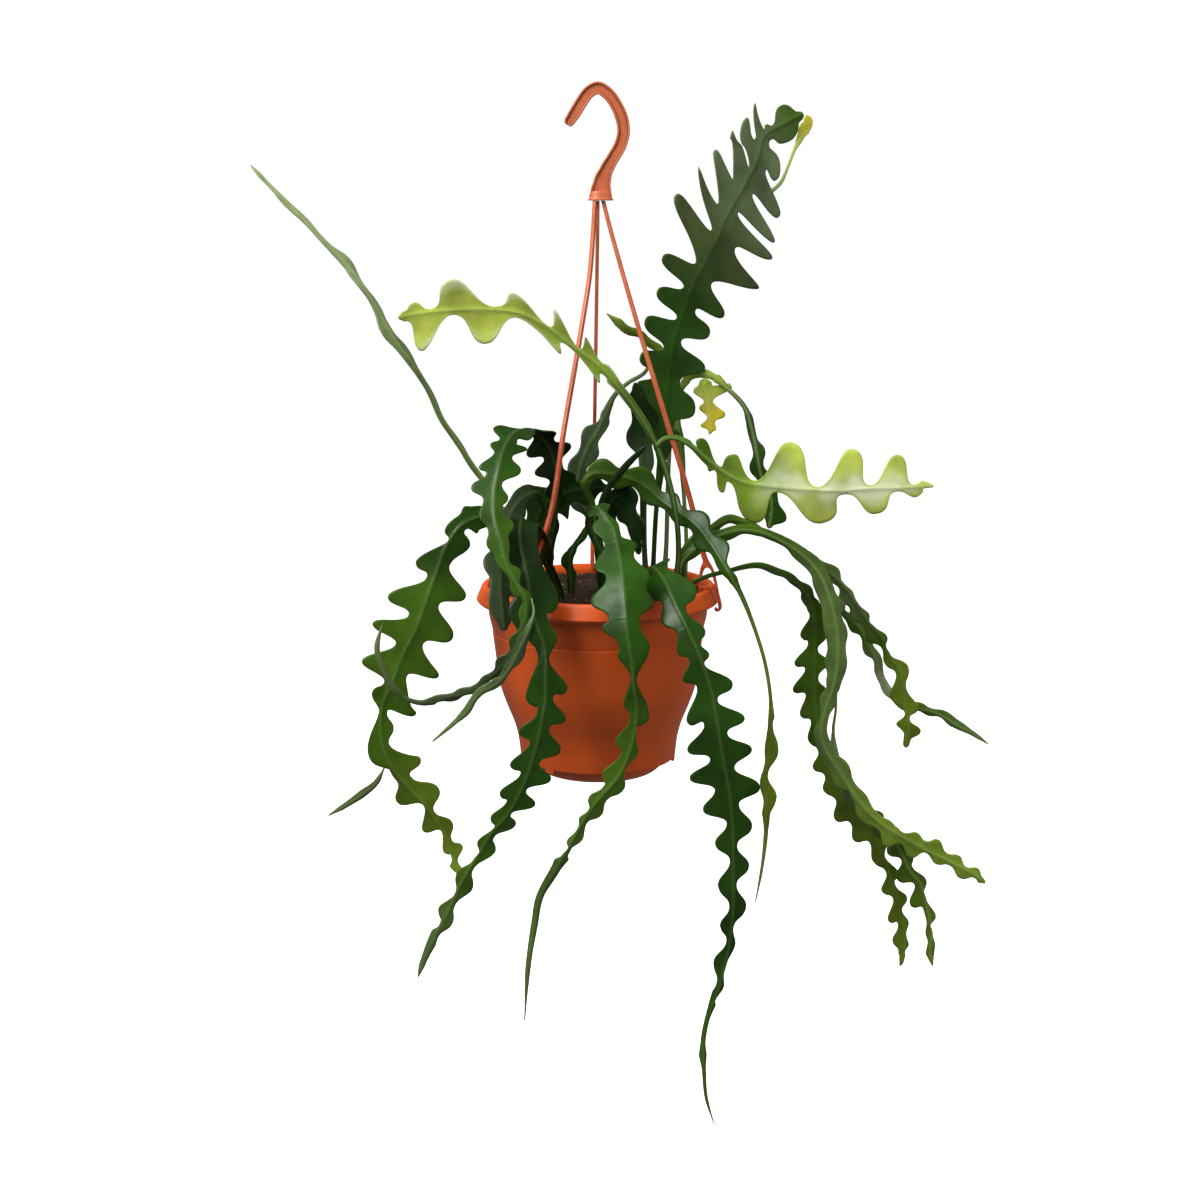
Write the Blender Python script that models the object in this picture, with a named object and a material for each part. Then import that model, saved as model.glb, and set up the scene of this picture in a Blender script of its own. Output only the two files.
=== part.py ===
"""Fishbone cactus in a hanging pot.

A terracotta-coloured plastic pot with a drip dish under it hangs on three strands from a flat hook.
It is filled with soil, and the flat lobed stems of the plant grow out of it: some stand up, most arch
over the rim and hang. Each stem and each side shoot is a solid of its own.

The origin is the point under the hook's crown that bears on a rail, +Z up. X runs across the plane in
which the hook bends. The routes of stems and strands are given in centimetres from the centre of the
pot's rim, which lies RIM_DROP under the origin.
"""
from math import atan2, ceil, cos, pi, radians, sin

import bmesh
import bpy
from mathutils import Quaternion, Vector

CM = 0.01
MM = 0.001
GAP = 0.3 * MM                     # clearance between pieces that touch
RIM_DROP = 0.410                   # from the hook's bearing point down to the rim plane
ROUND_SIDES = 40                   # sides of the turned pieces

# Pot, radii and heights from the rim plane, in millimetres.
RIM_TOP_R = 99.0
LIP_R = 105.0
LIP_DROP = 12.5
NECK_R = 94.6
WALL = 2.3
STEP_Z = -40.0
STEP_DEPTH = 0.8
SKIRT_BOTTOM_Z = -152.0
FLOOR_Z = -137.0                   # underside of the pot's floor
DRAIN_R = 4.0
DRAIN_CIRCLE_R = 30.0
LUG_ANGLES = (-8.0, 112.0, 232.0)  # degrees round the pot

# Drip dish
DISH_R = 61.0
DISH_BASE_R = 46.0
DISH_BASE_Z = -165.0
DISH_WALL = 2.0

# Soil
SOIL_Z = -8.0                      # its top, at the wall
SOIL_CROWN = 2.0                   # how far it is heaped in the middle
ROOT_Z = -19.0                     # how deep the stems stand in it
POCKET_R = 4.0
POCKET_SIDES = 8

# Hook: its centre line and width in the XZ plane, centimetres from the rim centre.
HOOK_DEPTH = 0.60
HOOK_BORDER = 0.17
HOOK_RECESS = 0.13
HOOK_LINE = [
    (-2.30, 38.90, 0.90), (-1.90, 39.50, 1.00), (-1.30, 40.45, 1.00), (-0.75, 41.15, 1.00),
    (0.00, 41.50, 1.00), (0.75, 41.10, 1.00), (1.45, 40.20, 1.00), (1.95, 39.10, 1.05),
    (2.12, 38.00, 1.05), (1.85, 36.90, 1.05), (1.25, 35.85, 1.05), (0.70, 34.90, 1.15),
    (0.35, 33.95, 1.45), (0.24, 33.10, 1.75), (0.22, 32.70, 1.90),
]
COLLAR_BOTTOM = 32.4
COLLAR_HALF = (1.05, 0.75)         # half sizes of the collar along X and Y

# Strands: azimuth of the foot, degrees, and the centre line as distance from the axis and height.
STRAND_THICK = 0.30
STRAND_TOP_WIDTH = 0.28
STRAND_LOW_WIDTH = 0.42
STRAND_TOP_R = 0.45
STRAND_TOP_Z = COLLAR_BOTTOM - 0.03
STRANDS = {
    "strand_left": (-124.0, [(0.75, 29.5), (1.20, 26.5), (2.45, 22.0), (4.95, 14.0), (7.45, 6.0)]),
    "strand_right": (-18.0, [(0.95, 30.5), (1.75, 27.8), (3.70, 21.5), (5.80, 15.0), (8.35, 7.0)]),
    "strand_back": (93.0, [(0.60, 30.5), (1.25, 28.0), (3.30, 21.0), (5.60, 14.0), (7.95, 6.5)]),
}
FORK_R = 9.72
FORK_Z = 1.90
CLIP_EYE = [                       # the opening between a clip's two legs
    (9.24, 0.42), (9.26, 0.90), (9.33, 1.40), (9.50, 1.75), (9.78, 1.90), (10.02, 1.75),
    (10.18, 1.35), (10.28, 0.90), (10.36, 0.45), (10.28, 0.34), (9.95, 0.30), (9.40, 0.30),
]

# Stems
FINE = 0.1 * CM                    # spacing of the samples along a stem
LOBED_STEP = 0.5 * CM              # spacing of the sections where the stem is lobed
STALK_STEP = 1.3 * CM              # and where it is a plain stalk
STALK_REACH = 0.42 * CM            # a stalk reaches no further than this from its midrib
NOTCH_REACH = 0.26 * CM            # the least that a notch leaves beside the midrib
SPROUT_GAP = 0.9 * MM              # a side shoot starts this far off its parent's edge
SPROUT_REACH = 0.5 * MM
FRONT = (0.0, -1.0, 0.0)

# A route point is x, y, z and the reach of a lobe from the midrib, in centimetres, and the twist of
# the blade there in degrees. "face" is the way the flat of the blade looks at route point "at".
# "tips" are where the points of the larger lobes stand, as x and z, and "lean" is how far the lobes
# of the two edges slope towards the stem's end. Other stems have lobes a "pitch" apart, on alternate
# edges. "notch" is how much of the blade's reach a notch leaves, and "full" makes the lobes rounder.
# "sprout" names the parent of a side shoot, the parent's route point that it leaves, and the edge.
STEMS = {
    "stem_top_right": dict(
        tone="dark", face=(0.55, -0.83, 0.0), at=10, notch=0.20, full=1.4, lean=(0.1, 0.35),
        tips=[(8.6, 14.3), (3.9, 19.5), (9.5, 18.6), (10.0, 21.0), (4.2, 22.3), (11.3, 22.5), (5.3, 25),
              (14.6, 25.0), (5.7, 27.8), (15.6, 27.4), (16.0, 29.1), (6.7, 32.8), (16.7, 31.3),
              (8.6, 35.2), (10.3, 37.0), (16.2, 34.8), (11.9, 38.6), (13.9, 41.0), (16.5, 41.0),
              (17.4, 38.0)],
        route=[(4.8, 3.0, -0.9, 0.30, -20), (4.9, 3.0, 2.0, 0.22, -20), (5.1, 3.0, 6.0, 0.22, -20),
               (5.5, 3.0, 10.0, 0.40, -20), (5.8, 3.3, 13.0, 1.50, -20), (6.0, 3.8, 15.5, 2.80, -15),
               (6.3, 4.7, 19.0, 3.10, -10), (7.2, 6.1, 22.3, 3.40, -5), (8.4, 7.4, 25.4, 4.00, 0),
               (10.0, 8.7, 28.2, 4.80, 0), (11.6, 10.2, 31.5, 4.50, 0), (13.2, 11.6, 34.2, 4.00, 0),
               (14.3, 12.5, 36.3, 2.80, 0), (14.7, 13.0, 37.9, 0.80, 0), (15.4, 13.4, 38.7, 0.60, 0),
               (16.3, 13.7, 39.2, 1.60, 0), (17.2, 13.9, 39.7, 1.60, 0), (18.2, 14.0, 40.2, 0.30, 0)]),
    "shoot_top_right": dict(
        tone="olive", sprout=("stem_top_right", 12, "right"), at=3, pitch=3.0,
        route=[(17.2, 14.3, 35.7, 0.13, 0), (18.1, 14.7, 37.4, 0.14, 0), (18.6, 14.9, 38.6, 0.60, 0),
               (19.0, 15.0, 39.6, 0.60, 0), (18.8, 15.0, 40.3, 0.10, 0)]),
    "stem_arch_left": dict(
        tone="light", at=11, notch=0.20,
        tips=[(-1.0, 21.5), (0.1, 17.7), (-3.6, 23.8), (-3.0, 20.1), (-7.1, 25.1), (-9.2, 21.0),
              (-11.9, 26.1), (-14.2, 20.5), (-14.7, 24.3)],
        route=[(6.5, -2.5, -0.9, 0.30, 0), (6.8, -3.0, 3.0, 0.24, 0), (6.6, -4.1, 6.0, 0.24, 0),
               (6.0, -4.4, 9.0, 0.26, 0), (4.9, -4.5, 12.3, 0.28, 0), (3.4, -5.1, 15.0, 0.34, 0),
               (1.8, -5.7, 17.2, 0.38, 0), (0.4, -6.1, 18.8, 0.60, 0), (-2.3, -6.6, 20.9, 1.50, 0),
               (-4.3, -7.0, 22.4, 1.50, 0), (-6.3, -7.4, 23.4, 1.70, 0), (-8.8, -7.8, 23.7, 2.00, 0),
               (-11.2, -8.2, 23.7, 2.50, 0), (-13.5, -8.6, 23.5, 2.60, 0), (-15.0, -8.9, 23.3, 1.2, 0),
               (-15.9, -9.1, 23.1, 0.15, 0)]),
    "shoot_pale_right": dict(
        tone="light", sprout=("stem_arch_left", 4, "right"), at=6, notch=0.18,
        tips=[(10.2, 8.6), (11.1, 11.8), (13.1, 6.1), (15.9, 12.8), (18.8, 6.2), (20.9, 12.3),
              (23.0, 7.0), (24.6, 11.9), (26.2, 8.6)],
        route=[(6.0, -4.8, 13.2, 0.24, 0), (7.4, -4.9, 12.7, 0.28, 0), (9.2, -5.1, 11.3, 0.50, 0),
               (10.6, -5.4, 10.2, 1.60, 0), (12.2, -5.8, 9.5, 2.50, 0), (14.2, -6.0, 9.2, 3.20, 0),
               (16.6, -6.1, 9.0, 3.40, 0), (19.9, -6.4, 8.9, 2.90, 0), (22.4, -6.6, 9.1, 2.70, 0),
               (24.9, -6.9, 9.2, 2.10, 0), (26.3, -7.0, 9.3, 0.60, 0), (27.5, -7.0, 9.4, 0.12, 0)]),
    "stem_wand_left": dict(
        tone="grey", face=(0.70, -0.55, 0.45), at=5, pitch=4.6, notch=0.60,
        route=[(-4.5, 2.5, -0.9, 0.30, 0), (-6.5, 3.2, 3.0, 0.35, 0), (-10.5, 4.0, 9.0, 0.50, 0),
               (-13.5, 4.5, 13.5, 0.60, 8), (-15.6, 5.0, 17.6, 0.70, 12), (-17.7, 5.0, 20.5, 0.90, -5),
               (-20.4, 5.5, 25.1, 0.80, 15), (-22.1, 6.0, 27.3, 0.90, 0), (-23.8, 6.0, 29.1, 0.60, 10),
               (-26.6, 6.0, 32.0, 0.60, 0), (-28.8, 6.3, 34.2, 0.50, 12), (-30.0, 6.5, 35.5, 0.10, 0)]),
    "stem_fold_left": dict(
        tone="dark", at=8, pitch=2.3, notch=0.40,
        route=[(-4.2, -0.6, -0.9, 0.30, 90), (-4.1, -1.0, 3.0, 0.35, 90), (-3.6, -1.6, 6.8, 0.70, 90),
               (-3.5, -2.2, 9.4, 1.70, 90), (-4.1, -3.0, 12.0, 1.90, 80), (-5.4, -4.8, 13.7, 1.40, 45),
               (-6.9, -6.6, 13.6, 1.50, 0), (-7.6, -8.0, 12.6, 1.50, 0), (-8.0, -9.2, 10.9, 1.50, 0),
               (-8.3, -10.0, 9.2, 1.40, 0), (-8.2, -11.0, 7.1, 1.20, 0), (-7.7, -11.7, 5.4, 1.00, 0),
               (-7.3, -12.2, 3.7, 0.90, 0), (-6.5, -12.5, 2.2, 0.70, 0), (-5.8, -12.7, 1.0, 0.60, 0),
               (-5.8, -12.8, -0.3, 0.60, 0), (-6.4, -12.7, -2.3, 0.80, 0), (-7.5, -12.3, -4.3, 0.70, 0),
               (-8.8, -11.8, -5.6, 0.45, 0), (-9.7, -11.4, -6.5, 0.40, 0), (-12.2, -10.8, -7.4, 0.60, 0),
               (-14.8, -10.4, -8.0, 0.25, 0), (-15.8, -10.5, -7.6, 0.20, 0),
               (-16.7, -10.9, -6.7, 0.35, 0), (-17.4, -11.0, -5.2, 0.30, 0),
               (-17.9, -11.0, -3.5, 0.25, 0), (-17.4, -10.8, -1.2, 0.08, 0)]),
    "stem_broad_left": dict(
        tone="mid", at=8, notch=0.30,
        tips=[(-12.5, 5.7), (-10.5, 4.6), (-15.0, 3.0), (-10.9, 0.2), (-17.2, 0.0), (-12.0, -3.0),
              (-18.4, -2.0), (-13.2, -6.3), (-19.4, -5.0), (-15.2, -9.5), (-18.7, -7.7),
              (-15.0, -13.5), (-16.5, -17.3), (-13.5, -16.3), (-14.5, -19.6), (-12.2, -19.0),
              (-12.9, -21.8)],
        route=[(-5.0, -2.5, -0.9, 0.30, 0), (-6.3, -3.6, 3.0, 0.35, 0), (-8.0, -5.0, 6.0, 0.50, 0),
               (-9.9, -6.5, 6.7, 1.00, 0), (-11.1, -7.0, 6.2, 1.60, 0), (-12.4, -7.3, 4.5, 2.30, 0),
               (-13.3, -7.6, 2.2, 2.70, 0), (-14.0, -7.9, 0.3, 3.10, 0), (-15.0, -8.1, -2.4, 3.40, 0),
               (-16.1, -8.3, -4.5, 3.30, 0), (-17.0, -8.5, -6.8, 2.40, 0), (-17.8, -8.3, -8.6, 1.0, 0),
               (-18.0, -8.2, -9.8, 0.80, 0), (-17.9, -8.2, -12.3, 1.20, 0),
               (-17.2, -8.2, -14.1, 1.80, 0), (-15.9, -8.2, -15.8, 1.60, 0),
               (-14.0, -8.2, -18.0, 1.50, 0), (-12.9, -8.2, -20.0, 1.20, 0),
               (-12.4, -8.2, -21.5, 1.00, 0), (-11.7, -8.2, -23.5, 0.30, 0)]),
    "shoot_broad_left": dict(
        tone="grey", sprout=("stem_broad_left", 14, "right"), at=2, pitch=2.5,
        route=[(-18.6, -7.6, -15.6, 0.25, 0), (-19.9, -7.0, -16.8, 0.35, 0),
               (-21.5, -6.6, -18.0, 0.25, 0), (-23.0, -6.2, -19.0, 0.08, 0)]),
    "stem_rim_left": dict(
        tone="grey", face=(0.3, -0.95, 0.0), at=7, pitch=3.4, notch=0.6,
        route=[(-4.0, -3.3, -0.9, 0.30, 0), (-4.2, -3.4, 4.0, 0.40, 0), (-4.6, -3.8, 7.6, 0.70, 0),
               (-5.1, -4.6, 8.5, 0.80, 0), (-6.2, -5.4, 8.2, 1.00, 0), (-7.1, -6.3, 7.2, 1.10, 0),
               (-7.6, -7.4, 5.8, 1.20, 0), (-7.8, -8.6, 4.2, 1.30, 0), (-7.9, -9.6, 2.6, 1.40, 0),
               (-7.9, -10.4, 1.0, 1.40, 0), (-7.7, -10.9, -0.6, 1.00, 0), (-7.6, -11.1, -1.9, 0.3, 0)]),
    "shoot_front_left": dict(
        tone="mid", sprout=("stem_fold_left", 14, "left"), at=2, pitch=2.6, notch=0.5,
        route=[(-5.1, -13.6, -0.3, 0.40, 0), (-5.6, -13.6, -1.3, 0.60, 0), (-6.1, -13.5, -2.4, 0.70, 0),
               (-6.6, -13.3, -3.5, 0.60, 0), (-7.3, -13.0, -4.8, 0.50, 0), (-8.3, -12.7, -5.9, 0.40, 0),
               (-9.5, -12.5, -6.6, 0.35, 0), (-10.0, -12.4, -7.2, 0.30, 0), (-10.6, -12.3, -8.2, .35, 0),
               (-11.7, -12.2, -9.3, 0.20, 0), (-13.5, -12.1, -10.9, 0.08, 0)]),
    "stem_front_left": dict(
        tone="dark", at=12, notch=0.40,
        tips=[(-8.3, 6.0), (-4.3, 3.8), (-7.9, 3.2), (-3.5, 2.2), (-7.0, 0.8), (-3.2, -0.8),
              (-2.8, -5.7), (-5.7, -6.5), (-2.7, -8.3), (-6.0, -9.3), (-3.1, -11.0), (-6.9, -12.2),
              (-4.0, -13.8), (-7.8, -14.9), (-5.3, -15.5), (-8.8, -17.0), (-7.0, -17.7), (-10.4, -19.4),
              (-8.6, -20.3), (-11.9, -22.2), (-10.3, -23.5), (-13.2, -25.3), (-12.0, -26.5)],
        route=[(-3.0, -4.5, -0.9, 0.30, 0), (-4.3, -5.6, 3.0, 0.50, 0), (-5.7, -7.0, 6.0, 1.40, 0),
               (-6.2, -8.2, 6.8, 1.90, 0), (-6.3, -9.7, 5.2, 2.20, 0), (-5.8, -10.8, 3.1, 2.30, 0),
               (-5.4, -11.6, 0.9, 2.30, 0), (-5.0, -12.1, -1.0, 1.80, 0), (-4.4, -12.5, -2.6, 0.70, 0),
               (-4.2, -12.8, -3.8, 0.35, 0), (-4.2, -13.1, -5.2, 1.50, 0), (-4.2, -13.3, -6.6, 2.0, 0),
               (-4.5, -13.5, -8.8, 1.90, 0), (-5.1, -13.4, -11.4, 2.00, 0), (-5.8, -13.2, -13.6, 2.0, 0),
               (-7.5, -12.7, -17.0, 1.50, 0), (-8.7, -12.3, -18.5, 1.20, 0), (-9.5, -12, -19.9, 1.2, 0),
               (-11.2, -12.0, -22.8, 0.90, 0), (-12.2, -12.0, -25.0, 0.70, 0),
               (-13.5, -12.0, -27.5, 0.45, 0), (-14.6, -12.0, -30.0, 0.28, 0),
               (-15.0, -12.0, -31.2, 0.08, 0)]),
    "stem_front_middle": dict(
        tone="dark", at=7, notch=0.35,
        tips=[(-0.5, 6.2), (1.7, 6.3), (3.1, 5.1), (-0.3, 3.4), (4.2, 2.8), (-0.6, 0.9), (4.4, 1.0),
              (4.0, -2.2), (0.3, -1.2),
              (2.1, -7.5), (3.7, -9.2), (1.6, -11.2), (3.3, -12.5), (0.7, -13.3), (1.5, -15.2),
              (-1.2, -15.3), (-0.3, -17.6), (-2.8, -18.2), (-2.1, -20.8), (-4.2, -21.0)],
        route=[(0.8, -3.0, -0.9, 0.30, 0), (0.3, -3.7, 3.0, 0.40, 0), (-0.8, -4.4, 6.2, 0.50, 0),
               (-0.3, -5.6, 7.4, 0.90, 0), (1.1, -7.6, 6.2, 1.70, 0), (1.7, -9.6, 4.2, 2.50, 0),
               (2.0, -11.4, 2.4, 2.60, 0), (2.2, -12.6, 0.6, 2.50, 0), (2.3, -13.4, -1.3, 2.00, 0),
               (2.7, -13.9, -4.0, 0.50, 0), (2.8, -14.0, -5.4, 0.35, 0), (3.1, -14.0, -7.7, 1.10, 0),
               (2.9, -14.0, -9.8, 1.20, 0), (2.4, -14.0, -11.6, 1.30, 0), (1.6, -14.0, -13.3, 1.2, 0),
               (0.5, -14.0, -14.6, 1.00, 0), (-0.7, -13.8, -16.2, 0.90, 0), (-2.1, -13.5, -18.8, .8, 0),
               (-3.6, -13.3, -21.5, 0.40, 0), (-4.8, -13.1, -23.8, 0.32, 0), (-5.2, -13, -26, 0.30, 0),
               (-5.7, -13.0, -29.2, 0.24, 0), (-6.1, -13.0, -34.6, 0.08, 0)]),
    "stem_front_right": dict(
        tone="dark", at=10, notch=0.30,
        tips=[(3.7, 1.1), (7.9, 1.3), (4.8, -0.6), (8.6, -1.7), (6.2, -3.2), (8.9, -3.4),
              (6.9, -5.0), (10.4, -5.9), (7.5, -8.2), (11.6, -8.4), (7.3, -11.1), (12.0, -11.1),
              (7.5, -13.6), (12.9, -13.9), (8.7, -15.9), (12.2, -17.5), (9.5, -19.1), (12.2, -20.8),
              (9.7, -22.8), (12.0, -24.7), (10.0, -26.2), (11.1, -28.0), (9.5, -29.5), (10.4, -31.0),
              (9.2, -37.4)],
        route=[(3.5, -4.0, -0.9, 0.30, 0), (3.5, -4.3, 0.3, 0.35, 0), (3.9, -5.3, 1.5, 0.90, 0),
               (4.5, -7.2, 2.6, 1.70, 0),
               (5.4, -9.2, 1.9, 2.20, 0), (6.0, -10.6, 0.8, 2.00, 0), (7.1, -12.2, -1.3, 1.70, 0),
               (8.2, -13.0, -3.7, 1.60, 0), (9.1, -13.4, -6.4, 1.90, 0), (9.7, -13.7, -9.7, 2.50, 0),
               (10.2, -13.8, -12.6, 2.80, 0), (10.6, -13.8, -14.6, 2.80, 0), (10.9, -13.8, -17.4, 1.7, 0),
               (11.0, -13.8, -20.4, 1.50, 0), (11.0, -13.7, -25.3, 1.20, 0),
               (10.6, -13.5, -28.7, 0.80, 0), (9.8, -13.5, -31.8, 0.40, 0), (9.0, -13.5, -34.3, 0.22, 0),
               (8.7, -13.5, -36.3, 0.22, 0), (8.7, -13.5, -37.3, 0.34, 0), (8.8, -13.5, -38.6, 0.18, 0),
               (9.0, -13.5, -41, 0.16, 0), (9.7, -13.5, -43.5, 0.08, 0)]),
    "stem_thin_right": dict(
        tone="dark", at=9, pitch=3.2, notch=0.45,
        route=[(0.3, 0.4, -0.9, 0.30, 0), (0.2, 0.2, 3.0, 0.24, 0), (-0.6, -0.2, 7.2, 0.30, 0),
               (-1.2, -0.6, 8.8, 0.55, 0), (-0.5, -0.6, 9.5, 0.90, 0), (0.8, -0.8, 9.6, 1.30, 0),
               (2.5, -1.0, 9.3, 1.40, 0), (4.2, -1.3, 8.5, 1.40, 0), (5.5, -1.9, 7.4, 1.20, 0),
               (6.5, -2.7, 6.8, 1.10, 0), (7.4, -3.3, 6.3, 1.20, 0), (8.3, -4.0, 5.6, 1.50, 0),
               (9.4, -5.0, 4.3, 1.40, 0),
               (10.2, -6.1, 3.1, 0.90, 0), (10.8, -6.9, 2.2, 0.50, 0), (11.7, -7.4, 0.6, 0.22, 0),
               (12.9, -8.0, -2.3, 0.17, 0), (13.8, -8.2, -5.2, 0.16, 0), (14.3, -8.3, -8.2, 0.16, 0),
               (14.4, -8.3, -10.3, 0.30, 0), (14.3, -8.3, -12.6, 0.60, 0), (14.0, -8.3, -15, 0.35, 0),
               (14.1, -8.3, -17.2, 0.60, 0), (14.1, -8.3, -19.8, 0.20, 0), (13.8, -8.3, -23, 0.14, 0),
               (13.3, -8.3, -26.0, 0.08, 0)]),
    "stem_back_right": dict(
        tone="grey", at=8, pitch=3.0, notch=0.45,
        route=[(5.8, 2.5, -0.9, 0.30, 0), (6.0, 3.1, 3.0, 0.20, 0), (6.1, 3.7, 7.0, 0.20, 0),
               (6.2, 4.3, 10.0, 0.20, 0), (6.5, 5.2, 13.5, 0.24, 0), (7.3, 6.1, 16.3, 0.30, 0),
               (8.3, 6.4, 17.4, 0.45, 0), (9.7, 6.3, 17.5, 0.50, 0), (11.6, 5.6, 16.1, 0.20, 0),
               (12.8, 5.0, 14.8, 0.22, 0), (13.5, 4.5, 12.8, 0.50, 0), (14.0, 4.0, 10.3, 0.80, 0),
               (14.3, 4.0, 8.9, 1.00, 0), (15.2, 3.5, 6.7, 1.30, 0), (15.2, 3.5, 5.5, 1.40, 0),
               (15.0, 3.5, 4.2, 0.30, 0)]),
    "shoot_yellow": dict(
        tone="olive", sprout=("stem_back_right", 7, "right"), at=3, notch=0.30,
        tips=[(11.4, 16.3), (11.1, 14.0), (8.4, 16.0), (8.9, 14.6), (9.0, 13.1)],
        route=[(9.4, 6.1, 16.6, 0.90, 0), (9.5, 6.0, 16.0, 1.60, 0), (9.7, 5.8, 15.0, 1.20, 0),
               (9.8, 5.6, 14.2, 1.30, 0), (9.9, 5.3, 13.2, 0.70, 0), (9.8, 5.1, 12.3, 0.15, 0)]),
    "stem_back_tip": dict(
        tone="light", at=5, pitch=2.6, notch=0.5,
        route=[(7.6, 3.8, -0.9, 0.30, 0), (7.8, 4.2, 2.4, 0.18, 0), (7.6, 4.8, 6.7, 0.18, 0),
               (7.3, 5.6, 11.0, 0.35, 0), (6.9, 6.8, 14.5, 0.60, 0), (6.6, 7.6, 17.0, 0.50, 0),
               (5.9, 7.6, 19.0, 0.35, 0), (3.9, 6.8, 20.8, 0.50, 0), (2.3, 6.0, 21.7, 0.50, 0),
               (0.7, 5.2, 22.9, 0.08, 0)]),
    "stem_right_wide": dict(
        tone="mid", at=10, notch=0.65,
        tips=[(21.2, -1.8), (19.4, -3.3), (21.4, -3.8), (21.4, -7.2), (19.5, -6.6), (20.6, -9.9),
              (19.5, -9.2), (21.9, -15.9), (23.6, -18.8), (21.2, -18.0), (25.8, -21.0),
              (22.8, -20.6), (28.0, -21.9), (25.2, -23.2), (29.8, -22.5), (27.4, -24.2),
              (31.6, -23.9), (29.8, -24.8), (33.5, -25.2), (31.9, -26.1)],
        route=[(7.0, -0.5, -0.9, 0.30, 0), (7.4, -0.7, 2.2, 0.50, 0), (8.7, -0.9, 3.4, 0.70, 0),
               (10.4, -1.0, 4.3, 0.70, 0), (12.2, -1.0, 4.8, 0.55, 0), (14.0, -1.0, 4.6, 0.40, 0),
               (15.6, -1.1, 3.9, 0.45, 0), (17.3, -1.3, 2.8, 0.65, 0), (18.7, -1.6, 1.4, 0.90, 0),
               (19.9, -2.0, -1.3, 1.10, 0), (20.5, -2.0, -4.0, 1.10, 0), (20.6, -2.0, -6.6, 1.10, 0),
               (20.2, -2.0, -9.0, 1.00, 0), (19.5, -2.0, -11.2, 0.80, 0), (19.3, -2.0, -13.0, 0.60, 0),
               (19.8, -2.0, -14.5, 0.70, 0), (21.0, -2.0, -16.3, 0.90, 0), (22.6, -2.0, -18.8, .9, 0),
               (24.7, -2.0, -21.0, 1.10, 0), (26.6, -2.0, -22.2, 1.30, 0), (28.5, -2.0, -23.3, 1.3, 0),
               (30.1, -2.0, -24.1, 1.10, 0), (31.8, -2.0, -25.0, 1.00, 0), (33.1, -2.0, -25.7, .7, 0),
               (34.1, -2.0, -26.5, 0.15, 0)]),
    "stem_right_low": dict(
        tone="mid", at=10, notch=0.50,
        tips=[(17.6, -2.3), (19.9, -4.9), (17.7, -5.0), (20.1, -7.1), (17.2, -7.4), (17.1, -9.8),
              (20.0, -9.9),
              (17.8, -12.0), (20.1, -13.0), (18.6, -14.4), (21.0, -16.2), (19.0, -16.8),
              (22.2, -18.9), (20.0, -18.9), (23.8, -21.0), (21.1, -21.6), (25.6, -23.3),
              (22.8, -23.5), (24.6, -25.5), (26.8, -26.7), (25.4, -28.2), (27.7, -28.9),
              (26.1, -31.0), (27.9, -31.3), (26.5, -33.0)],
        route=[(6.5, -4.0, -0.9, 0.28, 0), (7.4, -4.3, 0.4, 0.25, 0), (8.6, -4.6, 1.2, 0.25, 0),
               (10.7, -4.5, 1.8, 0.25, 0), (13.8, -4.0, 2.2, 0.35, 0), (14.9, -3.5, 1.7, 0.40, 0),
               (16.1, -3.0, 1.1, 0.50, 0), (17.5, -2.0, -0.1, 0.60, 0), (18.6, -0.6, -2.2, 0.90, 0),
               (18.9, 0.4, -5.3, 1.30, 0), (18.9, 0.5, -9.1, 1.50, 0), (19.1, 0.5, -11.8, 1.30, 0),
               (19.4, 0.5, -14.2, 1.10, 0), (20.7, 0.5, -17.6, 1.20, 0), (22.2, 0.5, -19.7, 1.30, 0),
               (23.8, 0.5, -21.6, 1.30, 0), (25.1, 0.5, -24.1, 1.00, 0), (26.0, 0.5, -26.3, 0.90, 0),
               (26.7, 0.5, -28.3, 0.90, 0), (27.2, 0.5, -30.3, 0.90, 0), (27.6, 0.5, -32.5, 0.70, 0),
               (27.6, 0.5, -34.0, 0.50, 0), (27.2, 0.5, -35.2, 0.15, 0)]),
    "shoot_right_low": dict(
        tone="mid", sprout=("stem_right_wide", 12, "left"), at=6, pitch=2.4, notch=0.45,
        route=[(20.9, -1.6, -10.9, 0.20, 0), (20.6, -1.0, -12.8, 0.20, 0), (20.7, -0.8, -15.0, 0.35, 0),
               (21.4, -0.8, -17.2, 0.60, 0), (23.0, -0.8, -19.7, 0.80, 0), (24.8, -0.8, -21.6, 0.9, 0),
               (26.1, -0.8, -22.9, 1.00, 0), (26.9, -0.8, -24.3, 1.00, 0), (27.6, -0.8, -25.7, 1.1, 0),
               (28.6, -0.8, -27.0, 1.00, 0), (29.1, -0.8, -28.7, 0.80, 0), (29.5, -0.8, -30.3, 0.6, 0),
               (29.7, -0.8, -31.8, 0.60, 0), (29.6, -0.8, -33.1, 0.45, 0), (29.9, -.8, -34.7, 0.1, 0)]),
    "stem_right_high": dict(
        tone="mid", at=11, notch=0.45,
        tips=[(21.1, 0.7), (21.1, -1.9), (22.3, -1.2), (21.9, -3.3), (23.7, -3.2), (25.3, -5.4),
              (23.5, -5.3), (25.2, -7.5), (27.3, -8.0), (25.8, -10.6), (28.3, -11.4),
              (26.3, -12.8), (28.5, -13.6)],
        route=[(7.5, 1.0, -0.9, 0.30, 0), (7.4, 0.9, 2.4, 0.40, 0), (8.8, 0.8, 3.8, 0.55, 0),
               (10.3, 1.0, 4.9, 0.55, 0), (11.5, 1.0, 5.4, 0.50, 0), (12.7, 1.0, 5.2, 0.45, 0),
               (14.2, 1.0, 4.3, 0.35, 0), (15.6, 1.0, 3.8, 0.35, 0), (17.1, 1.0, 2.9, 0.45, 0),
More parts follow.
